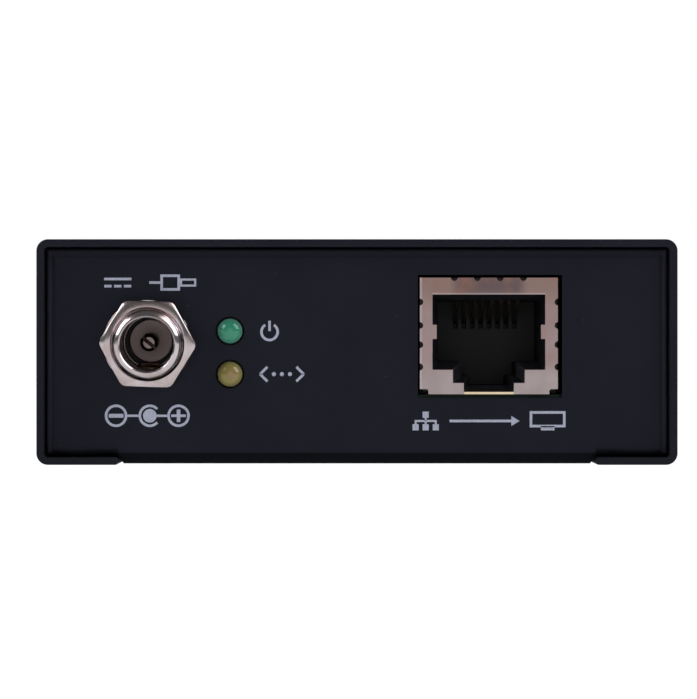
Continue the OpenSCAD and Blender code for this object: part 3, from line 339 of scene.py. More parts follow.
@dataclass(frozen=True)
class PanelCoat(Coat):
    """The chassis's coat, with specks, painted light on the top and side bends and painted shade along the
    underside.
    """

    specks: float = 0.3
    speck_radius: float = 0.14
    speck_colour: Colour = (0.025, 0.025, 0.032)
    # Painted light: the top and side bends are lighter.
    top_fade: Pair = (24.25, 25.15)
    top_bend_painted_light: Colour = (0.040, 0.040, 0.058)
    side_bend_light_fade: Pair = (35.55, 36.35)
    side_bend_painted_light: Colour = (0.064, 0.060, 0.082)
    # Painted shade: the underside is darker.
    under_shade_fade: Pair = (1.55, 1.25)
    under_painted_shade: Colour = (0.0026, 0.0030, 0.0043)
    under_roughness: float = 0.45

    def sockets(self, point: Value) -> Sockets:
        """Lays the specks, the painted light on the bends and the painted shade along the underside over the
        plain coat.

        Args:
            point: The place on the piece.

        Returns:
            What the surface's sockets hold.
        """
        sockets = super().sockets(point)
        x, _, z = point.parts()
        cell = point.shader.node("TexVoronoi", inputs={"Vector": point, "Scale": self.specks})
        speck = self.speck_radius * self.specks
        # Painted shade along the underside, which is also made rougher.
        low = z.fade(*self.under_shade_fade)
        colour = cell.fade(speck, speck / 2).mix(sockets["Base Color"], self.speck_colour)
        # Painted light on the top and side bends.
        colour = z.fade(*self.top_fade).mix(colour, self.top_bend_painted_light)
        colour = abs(x).fade(*self.side_bend_light_fade).mix(colour, self.side_bend_painted_light)
        sockets["Base Color"] = low.mix(colour, self.under_painted_shade)
        sockets["Roughness"] = sockets["Roughness"] + self.under_roughness * low
        return sockets


@dataclass(frozen=True)
class Plating(Finish):
    """A plated or bare metal with tool marks and duller patches."""

    colour: Colour
    patch_colour: Colour
    gloss: Pair
    patches: float = 0.35
    patch_fade: Pair = (0.35, 0.68)
    streaks: Triple = (1.0, 1.0, 1.0)
    streak_scale: float = 6.0
    streak_depth: float = 0.004
    streak_gloss: float = 0.08
    turned: bool = False
    # Painted shade inside the bore.
    bore: Pair | None = None
    bore_shade_depth: Pair = (3.85, 3.25)
    bore_shade: float = 0.08

    def sockets(self, point: Value) -> Sockets:
        """Streaks the metal along its tool marks, and paints shade inside its bore.

        Args:
            point: The place on the piece.

        Returns:
            What the surface's sockets hold.
        """
        along = point.rings() if self.turned else point.scaled(self.streaks)
        streak = along.noise(self.streak_scale, detail=4.0)
        patch = point.noise(self.patches).fade(*self.patch_fade)
        bright, dull = self.gloss
        colour = patch.mix(self.colour, self.patch_colour)
        # Painted shade inside the bore.
        if self.bore:
            x, y, z = point.parts()
            inside = reach(x, y).fade(*self.bore) * z.fade(*self.bore_shade_depth)
            colour = inside.mix(colour, tuple(part * self.bore_shade for part in self.patch_colour))
        return {
            "Base Color": colour,
            "Metallic": 1.0,
            "Roughness": bright + (dull - bright) * patch + self.streak_gloss * (streak - 0.5),
            "Normal": streak.bump(self.streak_depth),
        }


@dataclass(frozen=True)
class SocketSheet(Finish):
    """The nickelled sheet of the modular socket, warmer along its top, with painted shade along its top, a
    painted floor reflection along its foot, painted highlights on its cut edges and painted shade behind its
    face.
    """

    colour: Colour = (0.345, 0.255, 0.255)
    # Painted floor reflection: the sheet is lighter towards its foot.
    foot: Colour = (0.395, 0.335, 0.34)
    # Painted shade along the top, less dark towards its ends.
    dull: Colour = (0.145, 0.102, 0.105)
    ends: Colour = (0.27, 0.185, 0.165)
    warm: Colour = (0.31, 0.165, 0.125)
    # Painted highlight on the cut edges.
    lit: Colour = (0.52, 0.44, 0.45)
    brass: Colour = (0.80, 0.66, 0.45)
    # Painted shade on what lies behind the face.
    painted_recess_shade: Colour = (0.03, 0.026, 0.026)
    top_fade: Pair = (2.2, 5.9)
    top_shade_ends_fade: Pair = (3.2, 4.8)
    floor_reflection_fade: Pair = (-2.7, -5.2)
    key_fade: Pair = (-6.37, -6.47)
    key_side: Pair = (2.95, 2.85)
    highlight_foot: Pair = (4.75, 4.8)
    highlight_top: Pair = (5.07, 4.97)
    highlight_side: Pair = (6.65, 6.6)
    left_highlight_fade: Pair = (-7.8, -7.9)
    recess_shade_fade: Pair = (0.32, 0.64)
    clouds: float = 0.28
    cloud_fade: Pair = (0.42, 0.66)
    cloud_warmth: float = 0.12
    top_warmth: float = 0.5
    edge_highlight_share: float = 0.5
    left_highlight_share: float = 0.6
    brushing: Triple = (1.0, 1.0, 0.12)
    brush_scale: float = 9.0
    brush_depth: float = 0.003
    roughness: float = 0.33
    brush_gloss: float = 0.1
    cloud_gloss: float = 0.08

    def sockets(self, point: Value) -> Sockets:
        """Tints the sheet by height with painted shade along its top and a painted floor reflection along
        its foot, paints highlights on its cut edges and paints shade on what lies behind its face.

        Args:
            point: The place on the piece.

        Returns:
            What the surface's sockets hold.
        """
        aside, back, height = point.parts()
        spread = abs(aside)
        # Painted shade along the top; the same band also warms the tint.
        top = height.fade(*self.top_fade)
        key = height.fade(*self.key_fade) * spread.fade(*self.key_side)
        # Painted highlights on the cut edge over the window and along the left side.
        line = height.fade(*self.highlight_foot) * height.fade(*self.highlight_top) * spread.fade(*self.highlight_side)
        left = aside.fade(*self.left_highlight_fade)
        cloud = point.noise(self.clouds).fade(*self.cloud_fade)
        grain = point.scaled(self.brushing).noise(self.brush_scale, detail=4.0)
        # Painted floor reflection towards the foot, and painted shade along the top.
        with_floor_reflection = height.fade(*self.floor_reflection_fade).mix(self.colour, self.foot)
        with_top_shade = spread.fade(*self.top_shade_ends_fade).mix(self.dull, self.ends)
        warm = top * cloud * self.top_warmth + cloud * self.cloud_warmth
        colour = warm.mix(top.mix(with_floor_reflection, with_top_shade), self.warm)
        colour = (line * self.edge_highlight_share + left * self.left_highlight_share).mix(colour, self.lit)
        colour = key.mix(colour, self.brass)
        # Painted shade on what lies behind the face.
        return {
            "Base Color": back.fade(*self.recess_shade_fade).mix(colour, self.painted_recess_shade),
            "Metallic": 1.0,
            "Roughness": self.roughness + self.brush_gloss * (grain - 0.5) + self.cloud_gloss * cloud,
            "Normal": grain.bump(self.brush_depth),
        }


@dataclass(frozen=True)
class LampEpoxy(Finish):
    """The cloudy coloured epoxy of a lamp, with a paler rim that is a painted reflection and a patch where
    the die sits.
    """

    colour: Colour
    # Painted reflection: the paler rim of the dome.
    rim: Colour
    patch: Colour
    patch_share: float
    patch_x: float = 0.35
    patch_fade: Pair = (1.1, 0.1)
    rim_reflection_fade: Pair = (1.0, 1.5)
    ripples: float = 1.2
    ripple_depth: float = 0.004
    roughness: float = 0.07
    ripple_gloss: float = 0.06

    def sockets(self, point: Value) -> Sockets:
        """Lays the patch and the painted reflection on the rim over the epoxy, round the lamp's axis.

        Args:
            point: The place on the piece.

        Returns:
            What the surface's sockets hold.
        """
        x, _, z = point.parts()
        patch = self.patch_share * reach(x - self.patch_x, z).fade(*self.patch_fade)
        # Painted reflection on the dome's rim.
        rim = reach(x, z).fade(*self.rim_reflection_fade)
        ripple = point.noise(self.ripples, detail=2.0)
        return {
            "Base Color": rim.mix(patch.mix(self.colour, self.patch), self.rim),
            "Roughness": self.roughness + self.ripple_gloss * ripple,
            "Normal": ripple.bump(self.ripple_depth),
        }


@dataclass(frozen=True)
class SolderMask(Finish):
    """Green lacquer over a board with copper tracks below it."""

    colour: Colour = (0.002, 0.016, 0.007)
    track: Colour = (0.005, 0.034, 0.014)
    track_scale: float = 0.55
    track_gap: float = 0.09
    track_blur: float = 0.4
    pours: float = 0.12
    pour_fade: Pair = (0.46, 0.54)
    pour_height: float = 0.8
    grains: float = 3.0
    copper_depth: float = 0.03
    roughness: float = 0.24
    grain_gloss: float = 0.08
    sheen: float = 0.15

    def sockets(self, point: Value) -> Sockets:
        """Draws tracks between the copper pours.

        Args:
            point: The place on the piece.

        Returns:
            What the surface's sockets hold.
        """
        sizes = {"Scale": self.track_scale, "Mortar Size": self.track_gap, "Mortar Smooth": self.track_blur}
        tracks = point.shader.node("TexBrick", inputs={"Vector": point, **sizes}, output="Fac")
        pour = point.noise(self.pours, detail=2.0).fade(*self.pour_fade)
        copper = tracks * (1 - pour) + pour * self.pour_height
        return {
            "Base Color": copper.mix(self.colour, self.track),
            "Roughness": self.roughness + self.grain_gloss * point.noise(self.grains),
            "Normal": copper.bump(self.copper_depth),
            "Specular IOR Level": self.sheen,
        }


class Palette:
    """The finishes of the whole box."""

    along_y = (1.0, 0.1, 1.0)
    cover_coat = Coat((0.0080, 0.0077, 0.0115), (0.0105, 0.0100, 0.0150), 0.5, 4.0, 0.02)
    panel_coat = PanelCoat((0.0072, 0.0074, 0.0112), (0.0094, 0.0096, 0.0140), 0.46, 6.0, 0.006)
    nickel = Plating(
        (0.56, 0.51, 0.53),
        (0.46, 0.38, 0.375),
        (0.14, 0.26),
        turned=True,
        streak_depth=0.006,
        # The painted shade inside the bore.
        bore=(3.23, 3.17),
    )
    # The nickel darkened as painted shade, for the sleeve and pin deep in the bore.
    pin_nickel = Plating((0.24, 0.19, 0.185), (0.17, 0.13, 0.125), (0.16, 0.3), streak_scale=9.0)
    bronze = Plating((0.60, 0.44, 0.26), (0.45, 0.30, 0.18), (0.25, 0.4), streaks=along_y)
    gold = Plating((0.80, 0.60, 0.27), (0.68, 0.48, 0.20), (0.18, 0.32), streaks=along_y)
    # The gold darkened as painted shade, for the socket's contacts.
    shaded_gold = Plating((0.30, 0.22, 0.10), (0.22, 0.16, 0.08), (0.3, 0.45), streaks=along_y)
    video_sheet = Plating((0.66, 0.65, 0.65), (0.55, 0.53, 0.52), (0.2, 0.32), streaks=along_y)
    tin = Plating((0.62, 0.62, 0.61), (0.46, 0.46, 0.46), (0.28, 0.5), patches=0.9)
    zinc = Plating((0.60, 0.61, 0.64), (0.50, 0.49, 0.46), (0.2, 0.42), patches=0.6)
    black_oxide = Plating((0.035, 0.035, 0.040), (0.06, 0.055, 0.055), (0.32, 0.5), patches=0.8)
    can = Plating((0.70, 0.71, 0.73), (0.60, 0.61, 0.63), (0.2, 0.34), streaks=(1.0, 1.0, 0.08))
    anodised = Plating((0.035, 0.035, 0.040), (0.050, 0.050, 0.055), (0.35, 0.5), streaks=(1.0, 0.06, 1.0))
    black_plastic = Mottled((0.0035, 0.0037, 0.0052), (0.0048, 0.0052, 0.0072), 0.42, sheen=0.16)
    insulator = Mottled((0.70, 0.53, 0.52), (0.76, 0.58, 0.56), 0.5)
    chip_epoxy = Mottled((0.014, 0.014, 0.015), (0.020, 0.020, 0.021), 0.5, 12.0, 0.008)
    soft_pad = Mottled((0.30, 0.35, 0.45), (0.34, 0.38, 0.47), 0.8, 3.0, 0.03)
    ferrite = Mottled((0.035, 0.035, 0.038), (0.060, 0.058, 0.058), 0.62, 5.0, 0.03)
    ceramic = Mottled((0.34, 0.25, 0.16), (0.46, 0.38, 0.28), 0.45, 4.0, 0.01)
    mask = SolderMask()
    ink = Ink((0.33, 0.35, 0.45), (0.43, 0.45, 0.57), 0.65)
    socket_sheet = SocketSheet()
    green_epoxy = LampEpoxy((0.030, 0.24, 0.145), (0.09, 0.24, 0.18), (0.025, 0.26, 0.15), 0.5)
    yellow_epoxy = LampEpoxy((0.23, 0.20, 0.052), (0.20, 0.18, 0.08), (0.28, 0.17, 0.075), 0.8)


def middle(node: str) -> Vector:
    """Gives the middle of a CAD node's box, in metres."""
    low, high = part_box(node)
    return (low + high) / 2


def smooth(data: Mesh) -> None:
    """Shades a mesh smoothly, apart from its sharp edges."""
    data.shade_smooth()
    data.set_sharp_from_angle(angle=SHARP_ANGLE)


def piece_from(name: str, mesh: BMesh, place: Matrix | None = None) -> Object:
    """Makes a scene object from mesh work.

    Args:
        name: The piece's name.
        mesh: The mesh work, which is freed.
        place: The matrix that takes it to its place in metres; none if it is there already.

    Returns:
        The object, at the origin, with its place in its mesh.
    """
    if place is not None:
        mesh.transform(place)
    data = bpy.data.meshes.new(name)
    mesh.to_mesh(data)
    mesh.free()
    smooth(data)
    piece = bpy.data.objects.new(name, data)
    bpy.context.scene.collection.objects.link(piece)
    return piece


def dress(piece: Object, material: Material, node: str) -> None:
    """Puts a piece in a CAD node's place, with that node's body.

    Args:
        piece: The new piece.
        material: Its material.
        node: The CAD node that it stands for.
    """
    piece.data.materials.clear()
    piece.data.materials.append(material)
    even = piece.modifiers.new("even_shading", "WEIGHTED_NORMAL")
    even.keep_sharp = True
    even.weight = 100
    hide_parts(node)
    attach(piece, BODY_OF[node])
    LOG.info("%s: %d faces, rides on %s", piece.name, len(piece.data.polygons), BODY_OF[node])


def bevelled(
    mesh: BMesh, geom: list, width: float, segments: int = 3, affect: str = "EDGES", clamp: bool = True
) -> None:
    """Rounds edges or corners.

    Args:
        mesh: The mesh work.
        geom: Its edges or points to round.
        width: The width of the rounding.
        segments: The number of faces across it.
        affect: EDGES or VERTICES.
        clamp: True where the rounding is held back from its neighbours.
    """
    shape = {"segments": segments, "profile": 0.5, "affect": affect, "material": -1}
    bmesh.ops.bevel(mesh, geom=geom, offset=width, clamp_overlap=clamp, **shape)


def thickened(mesh: BMesh, depth: float) -> None:
    """Draws all the flat faces out along Y.

    Args:
        mesh: The mesh work.
        depth: How far the faces are drawn.
    """
    drawn = bmesh.ops.extrude_face_region(mesh, geom=list(mesh.faces), use_keep_orig=True)["geom"]
    moved = [item for item in drawn if isinstance(item, BMVert)]
    bmesh.ops.translate(mesh, verts=moved, vec=(0.0, depth, 0.0))
    bmesh.ops.recalc_face_normals(mesh, faces=mesh.faces)


def soften(material: Material, segments: int = 2, **widths: float) -> None:
    """Copies CAD nodes, rounds their sharp edges and dresses the copies.

    Args:
        material: Their material.
        segments: The number of faces across a rounding.
        **widths: For each node, the width of its rounding in millimetres.
    """
    for node, width in widths.items():
        mesh = bmesh.new()
        mesh.from_mesh(frame["nodes"][node].data)
        bmesh.ops.remove_doubles(mesh, verts=mesh.verts, dist=MERGE * MM)
        bmesh.ops.dissolve_limit(
            mesh, angle_limit=FLAT_ANGLE, verts=mesh.verts, edges=mesh.edges, delimit={"NORMAL"}
        )
        sharp = [edge for edge in mesh.edges if edge.is_manifold and edge.calc_face_angle() > CREASE_ANGLE]
        bevelled(mesh, sharp, width * MM, segments)
        bmesh.ops.remove_doubles(mesh, verts=mesh.verts, dist=FINE_MERGE * MM)
        dress(piece_from(node + "_piece", mesh), material, node)


def lathed(outline: Iterable[Point], rounding: float = 0.0, steps: int = 96, closed: bool = True) -> BMesh:
    """Spins an outline round Z.

    Args:
        outline: Points of radius and height.
        rounding: The width of the rounding at each corner off the axis.
        steps: The number of faces round the piece.
        closed: True where the last point joins the first.

    Returns:
        The mesh work, in millimetres.
    """
    mesh = bmesh.new()
    points = [mesh.verts.new((radius, 0.0, height)) for radius, height in outline]
    ends = points[1:] + points[:1] if closed else points[1:]
    for pair in zip(points, ends):
        mesh.edges.new(pair)
    if rounding:
        corners = [point for point in points if point.co.x > rounding and len(point.link_edges) > 1]
        bevelled(mesh, corners, rounding, affect="VERTICES")
    lathe = {"cent": (0.0, 0.0, 0.0), "axis": (0.0, 0.0, 1.0), "angle": math.tau, "use_merge": True}
    bmesh.ops.spin(mesh, geom=list(mesh.verts) + list(mesh.edges), steps=steps, **lathe)
    bmesh.ops.remove_doubles(mesh, verts=mesh.verts, dist=FINE_MERGE)
    bmesh.ops.recalc_face_normals(mesh, faces=mesh.faces)
    return mesh


def placed(spot: Iterable[float] = (0.0, 0.0, 0.0), turn: float = 0.0) -> Matrix:
    """Gives the matrix from millimetres to metres at a spot in metres, turned about X."""
    return Matrix.Translation(spot) @ Matrix.Rotation(turn, 4, "X") @ Matrix.Scale(MM, 4)


def arc(centre: Point, radius: float, start: float, end: float, steps: int) -> list[Point]:
    """Gives points along an arc.

    Args:
        centre: The arc's centre.
        radius: Its radius.
        start: The angle of its first point, in degrees.
        end: The angle of its last point, in degrees.
        steps: The number of stretches.

    Returns:
        The points, the ends among them.
    """
    turns = [math.radians(start + (end - start) * i / steps) for i in range(steps + 1)]
    return [(centre[0] + radius * math.cos(t), centre[1] + radius * math.sin(t)) for t in turns]


@dataclass
class Case:
    """The sheet-metal cover, the folded chassis and what holds them together."""

    sheet: float = 0.9
    bend_radius: float = 1.35
    bend_steps: int = 10
    lip: float = 9.5
    lip_round: float = 0.28
    lip_steps: int = 4
    cut_edge: float = 0.13
    head_radius: float = 2.65
    head_gap: float = 0.05
    head_slope: float = 0.719
    head_steps: int = 48
    hole_clearance: float = 0.5

    def build(self) -> None:
        """Builds and dresses the case."""
        dress(self.cover(), Palette.cover_coat.material("cover_coat"), "top_cover")
        soften(Palette.panel_coat.material("chassis_coat"), chassis=0.08)
        soften(Palette.black_oxide.material("black_oxide"), cover_screws=0.05)
        zinc = Palette.zinc.material("zinc")
        soften(zinc, clinch_nuts=0.08, board_standoffs=0.08, board_screws=0.08)

    def cover(self) -> Object:
        """Draws the folded sheet's section, extrudes it and rounds its cut edges.

        Returns:
            The cover with its countersunk holes.
        """
        low, high = (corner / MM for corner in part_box("top_cover"))
        mesh = bmesh.new()
        mesh.faces.new([mesh.verts.new((x, low.y, z)) for x, z in self._section(high.x, high.z)])
        thickened(mesh, high.y - low.y)
        cut = [edge for edge in mesh.edges if abs(edge.verts[0].co.y - edge.verts[1].co.y) < MERGE]
        bevelled(mesh, cut, self.cut_edge, clamp=False)
        return drilled(piece_from("cover_shell", mesh, placed()), self._hole_cutter())

    def _section(self, right: float, top: float) -> list[Point]:
        """Gives the closed outline of the sheet, seen from the front.

        Args:
            right: The half width of the cover.
            top: Its height.

        Returns:
            The points, down the right side, back up along its inside, and the same on the left.
        """
        bend, inner, end = self.bend_radius, self.bend_radius - self.sheet, self.lip_round
        side, roof, tip = right - bend, top - bend, right - self.lip + end
        steps, few = self.bend_steps, self.lip_steps
        half = [
            *arc((side, roof), bend, 90, 0, steps),
            *arc((side, bend), bend, 0, -90, steps),
            *arc((tip, end), end, -90, -180, few),
            *arc((tip, self.sheet - end), end, 180, 90, few),
            *arc((side, bend), inner, -90, 0, steps),
            *arc((side, roof), inner, 0, 90, steps),
        ]
        return [*half, *((-x, z) for x, z in reversed(half))]

    def _hole_cutter(self) -> Object:
        """Makes the cones that cut the countersunk holes in the lips.

        Returns:
            One object with four cones.
        """
        low, high = (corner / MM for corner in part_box("cover_screws"))
        over = self.hole_clearance
        inset = self.head_radius - self.head_gap
        cone = {
            "cap_ends": True,
            "segments": self.head_steps,
            "radius1": self.head_radius + over * self.head_slope,
            "radius2": self.head_radius - (self.sheet + over) * self.head_slope,
            "depth": self.sheet + 2 * over,
        }
        cutter = bmesh.new()
        for x in (low.x + inset, high.x - inset):
            for y in (low.y + inset, high.y - inset):
                bmesh.ops.create_cone(cutter, matrix=Matrix.Translation((x, y, self.sheet / 2)), **cone)
        return piece_from("hole_cutter", cutter, placed())


def drilled(piece: Object, cutter: Object) -> Object:
    """Cuts one object out of another and removes the cutter.

    Args:
        piece: The piece to cut.
        cutter: What is cut away.

    Returns:
        The piece with its new mesh.
    """
    modifier = piece.modifiers.new("holes", "BOOLEAN")
    modifier.operation = "DIFFERENCE"
    modifier.solver = "EXACT"
    modifier.object = cutter
    shaped = piece.evaluated_get(bpy.context.evaluated_depsgraph_get())
    data = bpy.data.meshes.new_from_object(shaped)
    piece.modifiers.clear()
    piece.data = data
    smooth(data)
    bpy.data.objects.remove(cutter)
    return piece


@dataclass
class PowerJack:
    """The coaxial power jack, whose axis is the record's pin mount."""

    barrel_radius: float = 4.0
    bore_radius: float = 3.15
    proud: float = 4.0
    rim_round: float = 0.65
    rim_bow: float = 20.0
    rim_steps: int = 8
    inner_chamfer: float = 0.15
    shoulder_radius: float = 5.0
    shoulder: float = 1.5
    shoulder_top: float = -1.3134
    thread_pitch: float = 0.75
    thread_depth: float = 0.3
    thread_land: float = 0.15
    thread_cuts: int = 96
    washer_radius: float = 5.15
    washer_bore: float = 4.15
    washer_thickness: float = 0.5
    washer_round: float = 0.1
    washer_shift: float = -0.12
    seat: float = 0.05
    nut_bore: float = 4.05
    nut_blank: float = 6.0
    nut_half_flats: float = 5.0
    nut_corner: float = 5.65
    nut_height: float = 2.0
    nut_mouth: float = 0.3
    nut_turn: float = 1.8
    nut_edge: float = 0.07
    nut_edge_bow: float = 0.3
    nut_face: float = 4.85
    nut_face_slope: float = 0.2
    nut_rim_slope: float = 0.56

    def __post_init__(self) -> None:
        """Finds the axis and the point where it crosses the panel's face."""
        axis = Vector(MOUNTS["dc_pin"]["axis"])
        point = Vector(MOUNTS["dc_pin"]["pos_m"])
        panel_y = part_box("chassis")[0].y
        self.centre = point + axis * ((panel_y - point.y) / axis.y)
        self.turn = math.pi / 2 + math.atan2(-axis.z, -axis.y)

    def build(self) -> None:
        """Builds and dresses the jack."""
        nickel = Palette.nickel.material("jack_nickel", self.centre, self.turn)
        jack = placed(self.centre, self.turn)
        # The washer is square to the tilted jack, so only one side of its rim rests on the panel.
        lift = self.washer_radius * math.tan(self.turn - math.pi / 2) + self.seat
        washer = Matrix.Translation((self.washer_shift, 0.0, lift))
        nut = Matrix.Translation((0.0, 0.0, lift + self.washer_thickness))
        turned = Matrix.Rotation(-math.radians(self.nut_turn), 4, "Z")
        dress(piece_from("jack_barrel", self.barrel(), jack), nickel, "dc_jack_barrel")
        dress(piece_from("jack_nut", self.nut(), jack @ nut @ turned), nickel, "dc_jack_nut")
        dress(piece_from("jack_washer", self.washer(), jack @ washer), nickel, "dc_jack_washer")
        # The sleeve and pin get the nickel darkened as painted shade.
        pin_nickel = Palette.pin_nickel.material("pin_nickel", self.centre, self.turn)
        soften(pin_nickel, dc_jack_sleeve=0.05, dc_jack_pin=0.05)
        soften(Palette.insulator.material("insulator"), dc_jack_insulator=0.1)
        soften(Palette.black_plastic.material("jack_plastic"), dc_jack_body=0.15)
        soften(Palette.bronze.material("jack_bronze"), dc_jack_spring=0.04)
        soften(Palette.tin.material("jack_tin"), dc_jack_terminals=0.04)

    def barrel(self) -> BMesh:
        """Turns the barrel and cuts its helical thread.

        Returns:
            The mesh work in the jack's own millimetres.
        """
        foot = self.shoulder_top - self.shoulder
        crest = self.proud - self.rim_round
        bow = math.radians(self.rim_bow)
        rim_radius = self.rim_round * math.sqrt(0.5) / math.sin(bow)
        drop = self.rim_round / 2 + rim_radius * math.cos(bow) * math.sqrt(0.5)
        centre = (self.barrel_radius - drop, self.proud - drop)
        rim = arc(centre, rim_radius, 45 - self.rim_bow, 45 + self.rim_bow, self.rim_steps)
        thread = [
            (self.barrel_radius, self.shoulder_top + (crest - self.shoulder_top) * i / self.thread_cuts)
            for i in range(self.thread_cuts + 1)
        ]
        outline = [
            (self.bore_radius, foot),
            (self.shoulder_radius, foot),
            (self.shoulder_radius, self.shoulder_top),
            *thread,
            *rim[1:],
            (self.bore_radius + self.inner_chamfer, self.proud),
            (self.bore_radius, self.proud - self.inner_chamfer),
        ]
        mesh = lathed(outline)
        for point in mesh.verts:
            radius = math.hypot(point.co.x, point.co.y)
            if abs(radius - self.barrel_radius) < MERGE and point.co.z < crest + MERGE:
                share = 1 - self.groove(point.co) * self.thread_depth / self.barrel_radius
                point.co.x *= share
                point.co.y *= share
        return mesh

    def groove(self, point: Vector) -> float:
        """Says how deep the thread's groove is at a point of the barrel, from 0 to 1.

        Args:
            point: The point in the jack's own millimetres.

        Returns:
            The share of the full depth.
        """
        turn = math.atan2(point.y, point.x) / math.tau
        phase = (point.z / self.thread_pitch - turn) % 1.0
        run_out = min(1.0, max(0.0, (point.z - self.shoulder_top) / self.thread_pitch))
        return max(0.0, (1 + self.thread_land) * (1 - abs(2 * phase - 1)) - self.thread_land) * run_out

    def nut(self) -> BMesh:
        """Turns the nut, presses it to six sides and slopes its face like a turned one.

        Returns:
            The mesh work in the nut's own millimetres, seated on zero.
        """
        blank, top, edge = self.nut_blank, self.nut_height, self.nut_edge
        bow = self.nut_edge_bow * edge
        outline = [
            (self.nut_bore, 0.0),
            (blank - edge, 0.0),
            (blank, edge),
            (blank, top - edge),
            (blank - bow, top - bow),
            (blank - edge, top),
            (self.nut_face, top),
            (self.nut_bore + self.nut_mouth, top),
            (self.nut_bore, top - self.nut_mouth),
        ]
        mesh = lathed(outline)
        for point in mesh.verts:
            radius = math.hypot(point.co.x, point.co.y)
            if radius > self.nut_face + 2 * edge:
                side = math.remainder(math.atan2(point.co.y, point.co.x) - math.pi / 6, math.pi / 3)
                pressed = min(self.nut_half_flats / math.cos(side), self.nut_corner) - (blank - radius)
                point.co.x *= pressed / radius
                point.co.y *= pressed / radius
                radius = pressed
            if point.co.z > top / 2:
                face = min(radius, self.nut_face) - self.nut_bore - self.nut_mouth
                rim = radius - self.nut_face
                point.co.z -= max(0.0, face) * self.nut_face_slope + max(0.0, rim) * self.nut_rim_slope
        return mesh

    def washer(self) -> BMesh:
        """Stamps the washer, whose edges are a little round."""
        bore, rim, top = self.washer_bore, self.washer_radius, self.washer_thickness
        return lathed([(bore, 0.0), (rim, 0.0), (rim, top), (bore, top)], self.washer_round)


@dataclass
class Lamps:
    """Two 3 mm lamps in a right-angle holder."""

    radius: float = 1.5
    foot_radius: float = 1.9
    foot: float = 1.0
    dome_steps: int = 16
    steps: int = 64

    def build(self) -> None:
        """Builds and dresses the lamps, their holder and their leads."""
        for node, finish in (("power_led", Palette.green_epoxy), ("link_led", Palette.yellow_epoxy)):
            low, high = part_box(node)
            centre = middle(node)
            lying = placed((centre.x, high.y, centre.z), math.pi / 2)
            lens = piece_from(node + "_lens", self.lens((high.y - low.y) / MM), lying)
            dress(lens, finish.material(node + "_epoxy", centre), node)
        soften(Palette.black_plastic.material("holder_plastic"), led_holder=0.12)
        soften(Palette.tin.material("lead_tin"), led_leads=0.05)

    def lens(self, length: float) -> BMesh:
        """Turns one lamp, foot down and dome up.

        Args:
            length: The lamp's length.

        Returns:
            The mesh work.
        """
        dome = arc((0.0, length - self.radius), self.radius, 0, 90, self.dome_steps)
        foot = [(0.0, 0.0), (self.foot_radius, 0.0), (self.foot_radius, self.foot), (self.radius, self.foot)]
        return lathed([*foot, *dome[:-1], (0.0, length)], steps=self.steps, closed=False)


@dataclass
class ModularSocket:
    """The shielded eight-way socket."""

    def build(self) -> None:
        """Builds and dresses the socket."""
        centre = Vector(MOUNTS["rj45_socket"]["pos_m"])
        soften(Palette.socket_sheet.material("socket_sheet", centre), rj45_shield=0.08)
        soften(Palette.black_plastic.material("socket_plastic"), rj45_insert=0.04)
        # The contacts and tails get the gold darkened as painted shade.
        soften(Palette.shaded_gold.material("socket_shaded_gold"), rj45_contacts=0.04, rj45_tails=0.04)


@dataclass
class VideoSocket:
    """The type A video socket at the rear."""

    def build(self) -> None:
        """Builds and dresses the socket."""
        soften(Palette.video_sheet.material("video_sheet"), hdmi_shell=0.07)
        soften(Palette.black_plastic.material("tongue_plastic"), hdmi_tongue=0.05)
        soften(Palette.gold.material("video_gold"), hdmi_contacts=0.02)


@dataclass
class InfraredJacks:
    """The two 3.5 mm jacks at the rear."""

    collar_segments: int = 3

    def build(self) -> None:
        """Builds and dresses both jacks."""
        plastic = Palette.black_plastic.material("infrared_plastic")
        bronze = Palette.bronze.material("infrared_bronze")
        for side in ("in", "out"):
            collar = f"ir_{side}_collar"
            nickel = Palette.nickel.material(collar + "_nickel", middle(collar), -math.pi / 2)
            soften(nickel, self.collar_segments, **{collar: 0.08})
            soften(plastic, **{f"ir_{side}_jack_body": 0.12})
            soften(bronze, **{f"ir_{side}_spring": 0.04})
        soften(Palette.tin.material("infrared_tin"), ir_jack_terminals=0.04)


@dataclass
class Board:
    """The circuit board and the parts soldered on it."""

    def build(self) -> None:
        """Builds and dresses the board and its parts."""
        epoxy = Palette.chip_epoxy.material("chip_epoxy")
        soften(Palette.mask.material("solder_mask"), circuit_board=0.05)
        soften(epoxy, receiver_chip=0.1, output_chip=0.1, line_transformer=0.2, small_chips=0.06)
        soften(Palette.soft_pad.material("soft_pad"), thermal_pad=0.1)
        soften(Palette.anodised.material("anodised"), heat_sink=0.12)
        soften(Palette.ferrite.material("ferrite"), power_inductors=0.25)
        soften(Palette.can.material("can_aluminium"), capacitors=0.12)
        soften(Palette.zinc.material("crystal_can"), crystal=0.2)
        soften(Palette.ceramic.material("ceramic"), small_passives=0.05)


class Side(Enum):
    """The two printed panels, by the way that their marks face."""

    FRONT = -1
    REAR = 1


